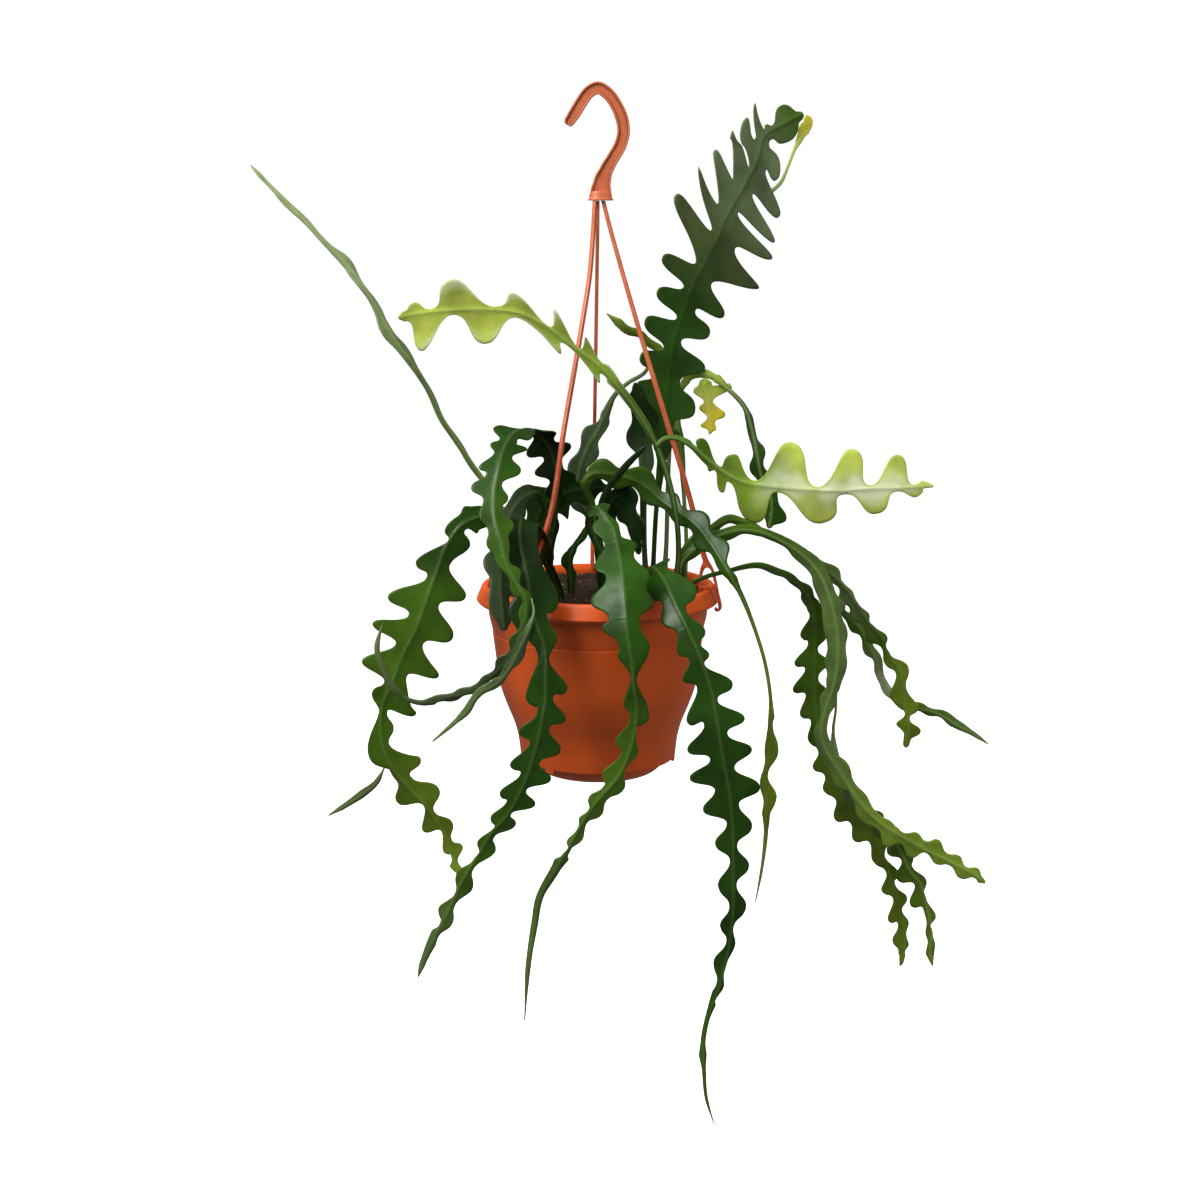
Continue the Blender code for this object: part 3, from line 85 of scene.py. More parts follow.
STRANDS = {
    "strand_left": (-124.0, [(0.75, 29.5), (1.20, 26.5), (2.45, 22.0), (4.95, 14.0), (7.45, 6.0)]),
    "strand_right": (-18.0, [(0.95, 30.5), (1.75, 27.8), (3.70, 21.5), (5.80, 15.0), (8.35, 7.0)]),
    "strand_back": (93.0, [(0.60, 30.5), (1.25, 28.0), (3.30, 21.0), (5.60, 14.0), (7.95, 6.5)]),
}
STRAND_TOP_R = 0.45
STRAND_THICK = 0.30
STRAND_WIDTHS = (0.28, 0.42)       # at the top and at the fork
FORK_Z = 1.90
CLIP_Z = 2.7                       # the clip's own outline takes over below this
CLIP_EYE = [                       # the opening between a clip's two legs
    (9.24, 0.42), (9.26, 0.90), (9.33, 1.40), (9.50, 1.75), (9.78, 1.90), (10.02, 1.75),
    (10.18, 1.35), (10.28, 0.90), (10.36, 0.45), (10.28, 0.34), (9.95, 0.30), (9.40, 0.30),
]
OUTLINE_STEP = 0.12                # spacing of points along the hook and the clips

# Pot, dish and soil. The pot's and the dish's walls are in millimetres.
POT_WALL = 2.3
DISH_WALL = 2.0
LUG_ANGLES = (-8.0, 112.0, 232.0)  # degrees round the pot
SOIL_R = 9.13
SOIL_RINGS = 44
SOIL_SIDES = 150
SOIL_FOOT = ((9.08, -2.6), (8.20, -8.8), (7.62, -10.5), (6.85, -12.2), (6.55, -13.44))
CRUMBS = 420

# Studio, in metres and watts
FLOOR_HEIGHT = -1.06
FLOOR_R = 9.0
DOME_R = 8.9
FLOOR_GLOW = 0.9
WORLD_LIGHT = 0.20
OVERHEAD = 55.0
KEY_POWER = 46.0
FILL_POWER = 17.0
CAMERA_SPOT = (0.0, -1.6, -0.1135)
LENS = 56.49                       # focal length in millimetres
SENSOR = 36.0                      # its sensor's width in millimetres
FRAME_SIZE = 1200                  # pixels across the whole picture, for the camera's shift
LIGHTS_AIM = (0.0, 0.0, -0.4)

# Skin colours, as linear red, green and blue.
TONES = {
    "deep": (0.013, 0.048, 0.002),
    "leaf": (0.042, 0.098, 0.004),
    "fresh": (0.170, 0.260, 0.022),
    "lime": (0.340, 0.400, 0.060),
    "olive": (0.360, 0.300, 0.010),
    "grey": (0.080, 0.118, 0.038),
    "bark": (0.038, 0.060, 0.014),
    "dull": (0.055, 0.078, 0.020),
    "shadow": (0.006, 0.020, 0.002),
    "moss": (0.098, 0.152, 0.007),
    "dusty": (0.170, 0.220, 0.095),
    "dim": (0.036, 0.058, 0.024),
    # A greyish green that paints the sheen of a highlight.
    "sheen_grey": (0.095, 0.132, 0.056),
    "sage": (0.088, 0.150, 0.034),
    "turf": (0.030, 0.080, 0.005),
    "straw": (0.300, 0.320, 0.050),
    "waxy": (0.380, 0.450, 0.280),
}
DARK_GREEN = 0.11                  # a skin with less green than this is a dark one
RIB_GREEN = (0.30, 0.42, 0.12)
VEIN_GREEN = (0.20, 0.32, 0.08)
RIM_GREEN = (0.12, 0.17, 0.02)
# Pale young growth, with painted highlights where it lies on the pale stems' lobes.
BLOOM_AND_SHEEN = (0.66, 0.72, 0.50)

# A route point is x, y, z and the reach of a lobe from the midrib, and where it isn't 0 the twist
# of the blade there in degrees. "face" is the way the flat of the blade looks at route point "at",
# if not to the front. "tone" names the stem's kind; nothing here reads it.
# "edges" are the notches and lobe tips of the large stems in turn, as x and z, one list for each
# side. A third number there is how full the curve is at that point.
# Elsewhere lobes stand a "pitch" apart, on alternate edges, and a notch leaves the share "notch" of
# the blade's reach. "tip" and "dip" are how full the lobes' points and the notches are.
# "tones" are skin colours along the stem, each after its share of the length, and "rib" is the
# midrib's where it isn't pale. "cup" bends the blade's edges towards the face, "fold" turns its two
# halves back from the midrib, and "wave" is how far the lobes stray out of the flat. "bloom" is
# where, on the way from the midrib to the edge, the pale young growth with its painted highlight
# patches starts and is full.
STEMS = {
    "stem_top_right": dict(
        tone="dark", face=(0.55, -0.83, 0), at=10, tip=0.75, dip=0.55, cup=0.02, fold=0.1,
        wave=0.35, rib="deep",
        # The grey stretch from 0.8 to 0.9 along this stem is a painted highlight.
        tones=((0, "bark"), (0.25, "deep"), (0.55, "deep"), (0.68, "dull"), (0.8, "sheen_grey"),
            (0.9, "sheen_grey"), (1, "leaf")),
        edges=(
            [(6.5, 13.2), (8.6, 14.6), (7.2, 16.9), (9.4, 18.1), (7.3, 20.4), (10, 21),
             (8.6, 23), (11.2, 22.5), (10.1, 25.3), (14.6, 24.9, 0.2), (12.3, 28.4),
             (15.5, 27.5), (12.5, 31.5), (16, 28.9), (13.9, 33.1), (16.5, 31.2), (15.1, 35.2),
             (16.2, 34.5), (15.5, 37.9), (17.2, 37.8), (18.4, 39.7)],
            [(5, 17.6), (3.7, 19.3), (5.7, 19.9), (4, 22.3), (6.9, 22.5), (5.2, 24.8),
             (7.5, 25.1), (5.6, 27.7), (8.6, 27.2), (6.8, 33), (10.1, 30.1), (8.6, 35.4, 0.2),
             (10.6, 32.3), (10.3, 36.9), (12, 34.5), (11.8, 38.6), (13.4, 35.4),
             (13.1, 39.8, 0.5), (14.1, 38.2), (13.9, 41.1, 0.3), (14.9, 38.9), (15, 39.3),
             (15.5, 39.2), (16.5, 41), (18.3, 40.5)]),
        route=[(4.8, 3, -0.9, 0.3, -20), (4.9, 3, 2, 0.22, -20), (5.1, 3, 6, 0.22, -20),
            (5.5, 3, 10, 0.4, -20), (5.8, 3.3, 13, 1.5, -20), (6, 3.8, 15.5, 2.8, -15),
            (6.3, 4.7, 19, 3.1, -10), (7.2, 6.1, 22.3, 3.4, -5), (8.4, 7.4, 25.4, 4),
            (10, 8.7, 28.2, 4.8), (11.6, 10.2, 31.5, 4.5), (13.2, 11.6, 34.2, 4),
            (14.4, 12.6, 36.6, 2), (14.7, 13, 37.9, 0.6), (15.3, 13.4, 38.6, 0.5),
            (16.2, 13.7, 39.1, 1.4), (17.2, 13.9, 39.6, 1.5), (18.2, 14, 40.1, 0.9),
            (18.5, 14, 40.2, 0.2)]),
    "shoot_top_right": dict(
        tone="olive", at=2, pitch=3,
        tones=((0, "grey"), (0.6, "lime"), (1, "olive")),
        route=[(15.6, 13.3, 33.4, 0.18), (16.5, 13.9, 34.2, 0.17), (17.2, 14.3, 35.7, 0.13),
            (17.8, 14.6, 37.2, 0.14), (18.2, 14.8, 38, 0.3), (18.6, 14.9, 38.9, 0.75),
            (19, 15, 39.6, 0.6), (18.8, 15, 40.3, 0.1)]),
    "stem_arch_left": dict(
        tone="light", at=11, tip=0.55, dip=0.6, cup=0.03, wave=0.3, bloom_and_sheen=(0.62, 1),
        tones=((0, "deep"), (0.35, "deep"), (0.48, "leaf"), (0.56, "fresh"), (0.85, "lime"),
            (1, "lime")),
        edges=(
            [(0.3, 19.4), (-1, 21.5, 0.12), (-1.6, 20.6), (-3.6, 23.8, 0.12), (-4.1, 22.4),
             (-7.1, 25.1, 0.2), (-8.4, 24), (-11.9, 26.1), (-13.4, 23.8), (-14.7, 24.3),
             (-15.5, 23.6)],
            [(0.6, 18.2), (0.1, 17.7, 0.12), (-2.4, 20.7), (-3, 20.1, 0.12), (-6.4, 23),
             (-9.2, 21), (-11.7, 23.3), (-14.2, 20.5), (-15.4, 22.8)]),
        route=[(6.5, -2.5, -0.9, 0.3), (6.8, -3, 3, 0.24), (6.6, -4.1, 6, 0.24),
            (6, -4.4, 9, 0.26), (4.9, -4.5, 12.3, 0.28), (3.4, -5.1, 15, 0.34),
            (1.8, -5.7, 17.2, 0.38), (0.4, -6.1, 18.8, 0.6), (-2.3, -6.6, 20.9, 1.5),
            (-4.3, -7, 22.4, 1.5), (-6.3, -7.4, 23.4, 1.7), (-8.8, -7.8, 23.7, 2),
            (-11.2, -8.2, 23.7, 2.5), (-13.5, -8.6, 23.5, 2.6), (-15, -8.9, 23.3, 1.2),
            (-15.9, -9.1, 23.1, 0.15)]),
    "shoot_pale_right": dict(
        tone="light", at=8, tip=0.7, dip=0.6, cup=-0.03, wave=0.35, bloom_and_sheen=(0.85, 0.35),
        tones=((0, "leaf"), (0.2, "leaf"), (0.38, "fresh"), (0.55, "lime"), (1, "lime")),
        edges=(
            [(7.9, 12.4), (8.4, 13.1), (9.9, 10.9), (11.1, 11.8), (12.8, 9.7), (15.9, 12.8),
             (18.1, 9.2), (20.9, 12.3), (22.4, 9.4), (24.6, 11.9), (25.9, 9.5)],
            [(9.7, 10.4), (10.2, 8.6), (10.8, 9.5), (13.1, 6.1), (14.8, 8.7), (18.8, 6.2),
             (20.4, 8.6), (23, 7), (24.6, 8.9), (26.4, 8.6), (27, 9.2)]),
        route=[(4.8, -4.6, 12.4, 0.22), (5.5, -4.7, 13, 0.22), (6.4, -4.8, 13.1, 0.24),
            (7.4, -4.9, 12.7, 0.28), (9.2, -5.1, 11.3, 0.5), (10.6, -5.4, 10.2, 1.6),
            (12.2, -5.8, 9.5, 2.5), (14.2, -6, 9.2, 3.2), (16.6, -6.1, 9, 3.4),
            (19.9, -6.4, 8.9, 2.9), (22.4, -6.6, 9.1, 2.7), (24.9, -6.9, 9.2, 2.1),
            (26.3, -7, 9.3, 0.6), (27.5, -7, 9.4, 0.12)]),
    "stem_wand_left": dict(
        tone="grey", face=(0.7, -0.55, 0.45), at=5, pitch=4.6, notch=0.6,
        tones=((0, "leaf"), (0.5, "grey"), (0.7, "dusty"), (1, "dusty")),
        route=[(-4.5, 2.5, -0.9, 0.3), (-6.5, 3.2, 3, 0.35), (-10.5, 4, 9, 0.5),
            (-13.5, 4.5, 13.5, 0.6, 8), (-15.6, 5, 17.6, 0.7, 12), (-17.7, 5, 20.5, 0.9, -5),
            (-20.4, 5.5, 25.1, 0.8, 15), (-22.1, 6, 27.3, 0.9), (-23.8, 6, 29.1, 0.6, 10),
            (-26.6, 6, 32, 0.6), (-28.8, 6.3, 34.2, 0.5, 12), (-30, 6.5, 35.5, 0.1)]),
    "stem_fold_left": dict(
        tone="dark", at=8, pitch=2.3, notch=0.4, fold=0.12,
        tones=((0, "shadow"), (0.3, "shadow"), (0.38, "deep"), (0.5, "turf"), (0.62, "turf"),
            (0.72, "dim"), (1, "grey")),
        edges=(
            [(-8, 13.3), (-8.7, 13), (-8.4, 12.3), (-9.6, 11.2), (-9, 10.7), (-10.2, 9.7),
             (-9.2, 8.7), (-9.5, 7.5), (-8.8, 6.4), (-8.9, 5.4), (-8.2, 4.2)],
            [(-6.6, 12.9), (-5.7, 12.6), (-6.9, 12), (-6.2, 10.9), (-7.7, 9.9), (-7.2, 8.8),
             (-7.7, 8), (-6.7, 6.8), (-7.1, 5.6)]),
        route=[(-4.2, -0.6, -0.9, 0.3, 90), (-4.1, -1, 3, 0.35, 90), (-3.6, -1.6, 6.8, 0.7, 90),
            (-3.5, -2.2, 9.4, 1.7, 90), (-4.1, -3, 12, 1.9, 80), (-5.4, -4.8, 13.7, 1.4, 45),
            (-6.9, -6.6, 13.6, 1.5), (-7.6, -8, 12.6, 1.5), (-8, -9.2, 10.9, 1.5),
            (-8.3, -10, 9.2, 1.4), (-8.2, -11, 7.1, 1.2), (-7.7, -11.7, 5.4, 1),
            (-7.3, -12.2, 3.7, 0.9), (-6.5, -12.5, 2.2, 0.7), (-5.8, -12.7, 1, 0.6),
            (-5.8, -12.8, -0.3, 0.6), (-6.4, -12.7, -2.3, 0.8), (-7.5, -12.3, -4.3, 0.7),
            (-8.8, -11.8, -5.6, 0.45), (-9.7, -11.4, -6.5, 0.4), (-12.2, -10.8, -7.4, 0.6),
            (-14.8, -10.4, -8, 0.25), (-15.8, -10.5, -7.6, 0.2), (-16.7, -10.9, -6.7, 0.35),
            (-17.4, -11, -5.2, 0.3), (-17.9, -11, -3.5, 0.25), (-17.4, -10.8, -1.2, 0.08)]),
    "stem_broad_left": dict(
        tone="mid", at=8, cup=0.02, fold=0.14, wave=0.3,
        tones=((0, "shadow"), (0.15, "deep"), (0.32, "deep"), (0.48, "leaf"), (0.7, "leaf"),
            (0.9, "moss"), (1, "fresh")),
        edges=(
            [(-11.5, 6.9), (-12.6, 5.7), (-12.2, 4.8), (-15, 3), (-14.1, 1.9), (-17.3, 0.3),
             (-15.6, -1.2), (-18.6, -1.9), (-16.7, -3.6), (-19.5, -5), (-17.7, -6.8),
             (-18.7, -7.6), (-18.2, -9.3), (-18.5, -14), (-16.9, -15.3), (-16.8, -17.3),
             (-14.7, -17.4), (-14.7, -19.8), (-13.1, -19.8), (-12.8, -21.7), (-12.2, -22)],
            [(-10.8, 5.8), (-10.5, 4.6), (-12.2, 2.8), (-10.9, 0.2), (-13.1, -0.4), (-12, -3.2),
             (-14.4, -3.6), (-13.2, -6.4), (-15.8, -6.3), (-15.2, -9.7), (-17.5, -9.4),
             (-17, -10.8), (-17.4, -12.1), (-14.8, -13.5), (-15.6, -15), (-13.3, -16),
             (-13.7, -18), (-12.2, -19), (-12.3, -20.4), (-11.4, -21), (-11.8, -22.4)]),
        route=[(-5, -2.5, -0.9, 0.3), (-6.3, -3.6, 3, 0.35), (-8, -5, 6, 0.5),
            (-9.9, -6.5, 6.7, 1), (-11.1, -7, 6.2, 1.6), (-12.4, -7.3, 4.5, 2.3),
            (-13.3, -7.6, 2.2, 2.7), (-14, -7.9, 0.3, 3.1), (-15, -8.1, -2.4, 3.4),
            (-16.1, -8.3, -4.5, 3.3), (-17, -8.5, -6.8, 2.4), (-17.8, -8.3, -8.6, 1),
            (-18, -8.2, -9.8, 0.8), (-17.9, -8.2, -12.3, 1.2), (-17.2, -8.2, -14.1, 1.8),
            (-15.9, -8.2, -15.8, 1.6), (-14, -8.2, -18, 1.5), (-12.9, -8.2, -20, 1.2),
            (-12.4, -8.2, -21.5, 1), (-11.7, -8.2, -23.5, 0.3)]),
    "shoot_broad_left": dict(
        tone="grey", at=3, pitch=2.5,
        tones=((0, "grey"), (1, "grey")),
        route=[(-17.8, -8.1, -14.1, 0.06), (-18.6, -7.6, -15.6, 0.25), (-19.9, -7, -16.8, 0.35),
            (-21.5, -6.6, -18, 0.25), (-23, -6.2, -19, 0.08)]),
    "stem_rim_left": dict(
        tone="grey", face=(0.3, -0.95, 0), at=7, pitch=3.4, notch=0.6, fold=0.15,
        tones=((0, "shadow"), (0.45, "shadow"), (0.6, "dim"), (1, "dim")),
        route=[(-4, -3.3, -0.9, 0.3), (-4.2, -3.4, 4, 0.4), (-4.6, -3.8, 7.6, 0.7),
            (-5.1, -4.6, 8.5, 0.8), (-6.2, -5.4, 8.2, 1), (-7.1, -6.3, 7.2, 1.1),
            (-7.6, -7.4, 5.8, 1.2), (-7.8, -8.6, 4.2, 1.3), (-7.9, -9.6, 2.6, 1.4),
            (-7.9, -10.4, 1, 1.4), (-7.7, -10.9, -0.6, 1), (-7.6, -11.1, -1.9, 0.3)]),
    "shoot_front_left": dict(
        tone="mid", at=3, pitch=2.6, notch=0.5,
        tones=((0, "dim"), (0.3, "dim"), (0.6, "grey"), (1, "grey")),
        route=[(-5.3, -12.6, 1.1, 0.06), (-5.1, -13.3, 0.1, 0.1), (-5.6, -13.6, -1.3, 0.3),
            (-6.1, -13.5, -2.4, 0.45), (-6.6, -13.3, -3.5, 0.6), (-7.3, -13, -4.8, 0.5),
            (-8.3, -12.7, -5.9, 0.4), (-9.5, -12.5, -6.6, 0.35), (-10, -12.4, -7.2, 0.3),
            (-10.6, -12.3, -8.2, 0.35), (-11.7, -12.2, -9.3, 0.2), (-13.5, -12.1, -10.9, 0.08)]),
    "stem_front_left": dict(
        tone="dark", at=12, cup=0.02, fold=0.16, wave=0.2,
        tones=((0, "shadow"), (0.3, "shadow"), (0.45, "deep"), (0.62, "deep"), (0.8, "leaf"),
            (1, "grey")),
        edges=(
            [(-8, 7), (-8.4, 6), (-7.6, 4.7), (-8, 3.3), (-7, 2.1), (-7, 0.6), (-4.8, -3.6),
             (-5.6, -7.3), (-4.9, -8.1), (-6.4, -9.8), (-5.5, -10.7), (-7.1, -12.6),
             (-6.3, -13.3), (-8, -15.1), (-7.5, -15.8), (-8.8, -17.3), (-8.5, -18.2),
             (-9.9, -19.8), (-10.2, -21), (-11.7, -22.2), (-11.7, -23.8), (-13.2, -25.3),
             (-13, -26.7)],
            [(-4.4, 5), (-3.9, 2.9), (-4.1, 1.6), (-3.3, 0.2), (-4, -0.7), (-3.4, -1.8),
             (-3.9, -3.9), (-2.5, -6.3), (-3.6, -6.9), (-2.6, -8.7), (-3.9, -9.4), (-3, -11.3),
             (-4.7, -12.3), (-3.8, -13.8), (-5.8, -14.7), (-5.1, -16), (-7, -16.7),
             (-6.7, -17.7), (-8.4, -18.8), (-8.4, -20), (-10.2, -21.7), (-10.3, -23.3),
             (-11.8, -24.9), (-12, -26.4), (-13.2, -27.6)]),
        route=[(-3, -4.5, -0.9, 0.3), (-4.3, -5.6, 3, 0.5), (-5.7, -7, 6, 1.4),
            (-6.2, -8.2, 6.8, 1.9), (-6.3, -9.7, 5.2, 2.2), (-5.8, -10.8, 3.1, 2.3),
            (-5.4, -11.6, 0.9, 2.3), (-5, -12.1, -1, 1.8), (-4.4, -12.5, -2.6, 0.7),
            (-4.2, -12.8, -3.8, 0.35), (-4.2, -13.1, -5.2, 1.5), (-4.2, -13.3, -6.6, 2),
            (-4.5, -13.5, -8.8, 1.9), (-5.1, -13.4, -11.4, 2), (-5.8, -13.2, -13.6, 2),
            (-7.5, -12.7, -17, 1.5), (-8.7, -12.3, -18.5, 1.2), (-9.5, -12, -19.9, 1.2),
            (-11.2, -12, -22.8, 0.9), (-12.2, -12, -25, 0.7), (-13.5, -12, -27.5, 0.45),
            (-14.6, -12, -30, 0.28), (-15, -12, -31.2, 0.06)]),
    "stem_front_middle": dict(
        tone="dark", at=7, cup=-0.02, fold=0.2, wave=0.2,
        tones=((0, "shadow"), (0.25, "deep"), (0.45, "deep"), (0.6, "leaf"), (1, "grey")),
        edges=(
            [(-0.1, 6.9), (-0.5, 6.2), (0.5, 5), (-0.3, 3.4), (0.6, 2.6), (-0.6, 0.9),
             (0.8, -0.4), (0.3, -1.2), (1.5, -2.2), (1.6, -3.1), (2.6, -5), (2.2, -7.6),
             (2.5, -8.6), (1.4, -10.5), (1.8, -11.4), (0.3, -13.2), (0.3, -14.2), (-0.8, -15.1),
             (-0.7, -16.2), (-1.6, -17.1), (-1.6, -17.9), (-2.5, -19.1), (-2.7, -20.2)],
            [(0.8, 7.1), (1.7, 6.3), (1.9, 5.5), (3.1, 5.1), (2.9, 4.2), (4.2, 2.8), (3.9, 1.9),
             (4.4, 1), (3.3, -0.5), (4, -2.2), (3.1, -5.4), (3.7, -8.9), (2.9, -9.7),
             (3.1, -11.6), (2.2, -12.7), (2, -14.5), (0.7, -15.3), (0.2, -16.7), (-0.9, -17.3),
             (-1.6, -19.1), (-2.4, -20)]),
        route=[(0.8, -3, -0.9, 0.3), (0.3, -3.7, 3, 0.4), (-0.8, -4.4, 6.2, 0.5),
            (-0.3, -5.6, 7.4, 0.9), (1.1, -7.6, 6.2, 1.7), (1.7, -9.6, 4.2, 2.5),
            (2, -11.4, 2.4, 2.6), (2.2, -12.6, 0.6, 2.5), (2.3, -13.4, -1.3, 2),
            (2.7, -13.9, -4, 0.5), (2.8, -14, -5.4, 0.35), (3.1, -14, -7.7, 1.1),
            (2.9, -14, -9.8, 1.2), (2.4, -14, -11.6, 1.3), (1.6, -14, -13.3, 1.2),
            (0.5, -14, -14.6, 1), (-0.7, -13.8, -16.2, 0.9), (-2.1, -13.5, -18.8, 0.8),
            (-3.6, -13.3, -21.5, 0.4), (-4.8, -13.1, -23.8, 0.32), (-5.2, -13, -26, 0.3),
            (-5.7, -13, -29.2, 0.24), (-6.1, -13, -34.6, 0.06)]),
    "stem_front_right": dict(
        tone="dark", at=10, cup=0.01, fold=0.2, wave=0.2,
        tones=((0, "shadow"), (0.1, "deep"), (0.75, "deep"), (1, "leaf")),
        edges=(
            [(4.3, 2.3), (3.7, 1.1), (5.1, 0.4), (5.1, -1), (6.3, -1.8), (6.4, -3.4),
             (7.3, -3.9), (6.8, -5.5), (7.9, -6), (7.2, -9), (8.5, -9.1), (7.2, -11.3),
             (9, -11.9), (7.4, -13.6), (9.4, -14.4), (8.5, -16.3), (10.4, -17.2), (9.5, -19.1),
             (10.7, -20.4), (9.8, -22.8), (10.7, -24.4), (10, -26.2), (10.5, -27.4),
             (9.5, -29.4), (9.7, -31.2)],
            [(5.4, 2.9), (7.9, 1.3), (7.2, -0.3), (8.6, -1.7), (8.2, -2.6), (8.9, -3.4),
             (8.5, -4.2), (10.8, -5.8), (9.6, -7.1), (11.8, -8.6), (10.4, -9.8), (12.4, -11.1),
             (11, -12.6), (13.1, -14.3), (11.4, -15.7), (12.5, -17.6), (11.3, -19.1),
             (12.3, -21), (11.3, -22.5), (12.1, -24.6), (11.1, -26.2), (11.2, -28),
             (10.3, -29.4), (10.4, -31), (9.6, -32.6)]),
        route=[(3.5, -4, -0.9, 0.3), (3.5, -4.3, 0.3, 0.35), (3.9, -5.3, 1.5, 0.9),
            (4.5, -7.2, 2.6, 1.7), (5.4, -9.2, 1.9, 2.2), (6, -10.6, 0.8, 2),
            (7.1, -12.2, -1.3, 1.7), (8.2, -13, -3.7, 1.6), (9.1, -13.4, -6.4, 1.9),
            (9.7, -13.7, -9.7, 2.5), (10.2, -13.8, -12.6, 2.8), (10.6, -13.8, -14.6, 2.8),
            (10.9, -13.8, -17.4, 1.7), (11, -13.8, -20.4, 1.5), (11, -13.7, -25.3, 1.2),
            (10.6, -13.5, -28.7, 0.8), (9.8, -13.5, -31.8, 0.4), (9, -13.5, -34.3, 0.22),
            (8.7, -13.5, -36.3, 0.22), (8.7, -13.5, -37.3, 0.34), (8.8, -13.5, -38.6, 0.18),
            (9, -13.5, -41, 0.15), (9.7, -13.5, -43.5, 0.05)]),
    "stem_thin_right": dict(
        tone="dark", at=9, pitch=3.2, notch=0.45, fold=0.12,
        tones=((0, "shadow"), (0.2, "leaf"), (0.35, "deep"), (0.5, "deep"), (0.62, "moss"),
            (0.9, "moss"), (1, "dusty")),
        edges=(
            [(14.5, -10.3), (15, -12.5), (14.2, -14.7), (14.9, -16.9), (14.4, -18.6)],),
        route=[(0.3, 0.4, -0.9, 0.3), (0.2, 0.2, 3, 0.24), (-0.6, -0.2, 7.2, 0.3),
            (-1.2, -0.6, 8.8, 0.55), (-0.5, -0.6, 9.5, 0.9), (0.8, -0.8, 9.6, 1.3),
            (2.5, -1, 9.3, 1.4), (4.2, -1.3, 8.5, 1.4), (5.5, -1.9, 7.4, 1.2),
            (6.5, -2.7, 6.8, 1.1), (7.4, -3.3, 6.3, 1.2), (8.3, -4, 5.6, 1.5),
            (9.4, -5, 4.3, 1.4), (10.2, -6.1, 3.1, 0.9), (10.8, -6.9, 2.2, 0.5),
            (11.7, -7.4, 0.6, 0.22), (12.9, -8, -2.3, 0.17), (13.8, -8.2, -5.2, 0.16),
            (14.3, -8.3, -8.2, 0.16), (14.4, -8.3, -10.3, 0.3), (14.3, -8.3, -12.6, 0.5),
            (14, -8.3, -15, 0.45), (14.1, -8.3, -17.2, 0.5), (14.1, -8.3, -19.8, 0.2),
            (13.8, -8.3, -23, 0.14), (13.3, -8.3, -26, 0.06)]),
    "stem_back_right": dict(
        tone="grey", at=8, pitch=3, notch=0.45,
        tones=((0, "grey"), (0.46, "dim"), (0.54, "fresh"), (0.61, "fresh"), (0.67, "dim"),
            (0.85, "deep"), (1, "deep")),
        route=[(5.8, 2.5, -0.9, 0.3), (6, 3.1, 3, 0.2), (6.1, 3.7, 7, 0.2), (6.2, 4.3, 10, 0.2),
            (6.5, 5.2, 13.5, 0.24), (7.3, 6.1, 16.3, 0.3), (8.3, 6.4, 17.4, 0.45),
            (9.7, 6.3, 17.5, 0.5), (11.6, 5.6, 16.1, 0.2), (12.8, 5, 14.8, 0.22),
            (13.5, 4.5, 12.8, 0.5), (14, 4, 10.3, 0.8), (14.3, 4, 8.9, 1),
            (15.2, 3.5, 6.7, 1.3), (15.2, 3.5, 5.5, 1.4), (15, 3.5, 4.2, 0.3)]),
    "shoot_yellow": dict(
        tone="olive", at=3, wave=0.4,
        tones=((0, "fresh"), (0.35, "straw"), (0.7, "olive"), (1, "olive")),
        edges=(
            [(10, 16.8), (11.8, 16.4), (10.1, 15.2), (11.2, 14), (10.3, 13.3), (10.4, 12.8),
             (10, 12.5)],
            [(8.9, 16.8), (8.4, 16), (9.3, 15.2), (8.9, 14.6), (9.6, 13.8), (9, 13.1),
             (9.7, 12.6)]),
        route=[(9.6, 6.2, 17.1, 0.3), (9.4, 6.1, 16.6, 0.9), (9.5, 6, 16, 1.6),
            (9.7, 5.8, 15, 1.2), (9.8, 5.6, 14.2, 1.3), (9.9, 5.3, 13.2, 0.7),
            (9.8, 5.1, 12.3, 0.12)]),
    "stem_back_tip": dict(
        tone="light", at=5, pitch=2.6, notch=0.5,
        tones=((0, "grey"), (0.6, "leaf"), (0.8, "fresh"), (1, "fresh")),
        route=[(7.6, 3.8, -0.9, 0.3), (7.8, 4.2, 2.4, 0.18), (7.6, 4.8, 6.7, 0.18),
            (7.3, 5.6, 11, 0.35), (6.9, 6.8, 14.5, 0.6), (6.6, 7.6, 17, 0.5),
            (5.9, 7.6, 19, 0.35), (3.9, 6.8, 20.8, 0.5), (2.3, 6, 21.7, 0.5),
            (0.7, 5.2, 22.9, 0.08)]),
    "stem_right_wide": dict(
        tone="mid", at=10, pitch=3.4, notch=0.7, fold=0.12,
        tones=((0, "deep"), (0.22, "leaf"), (0.36, "sage"), (0.65, "sage"), (0.8, "fresh"),
            (1, "fresh")),
        edges=(
            [(20.3, -0.4), (21.2, -1.8), (20.9, -2.5), (21.4, -3.8), (21.3, -5.3), (21.4, -7.2),
             (20.9, -8.8), (20.6, -9.9), (20, -11.4)],
            [(19, -1.4), (19.3, -3.3), (19.7, -5.3), (19.5, -6.6), (19.7, -7.8), (19.4, -9.2),
             (19.2, -11.4)],
            [(20.7, -14.6), (21.9, -15.9), (22.3, -17.2), (23.6, -18.8), (24.6, -20.2),
             (25.8, -21), (26.7, -21.8), (28, -21.9), (28.7, -22.6), (29.8, -22.5),
             (30.6, -23.7), (31.6, -23.9), (32.4, -25), (33.5, -25.2), (33.8, -25.9)],
            [(19.7, -15.2), (21.2, -18), (22.2, -18.9), (22.8, -20.6), (24.5, -21.6),
             (25.2, -23.2), (26.5, -22.9), (27.4, -24.2), (28.7, -23.7), (29.8, -24.8),
             (30.9, -24.9), (31.9, -26.1), (33.2, -26.1)]),
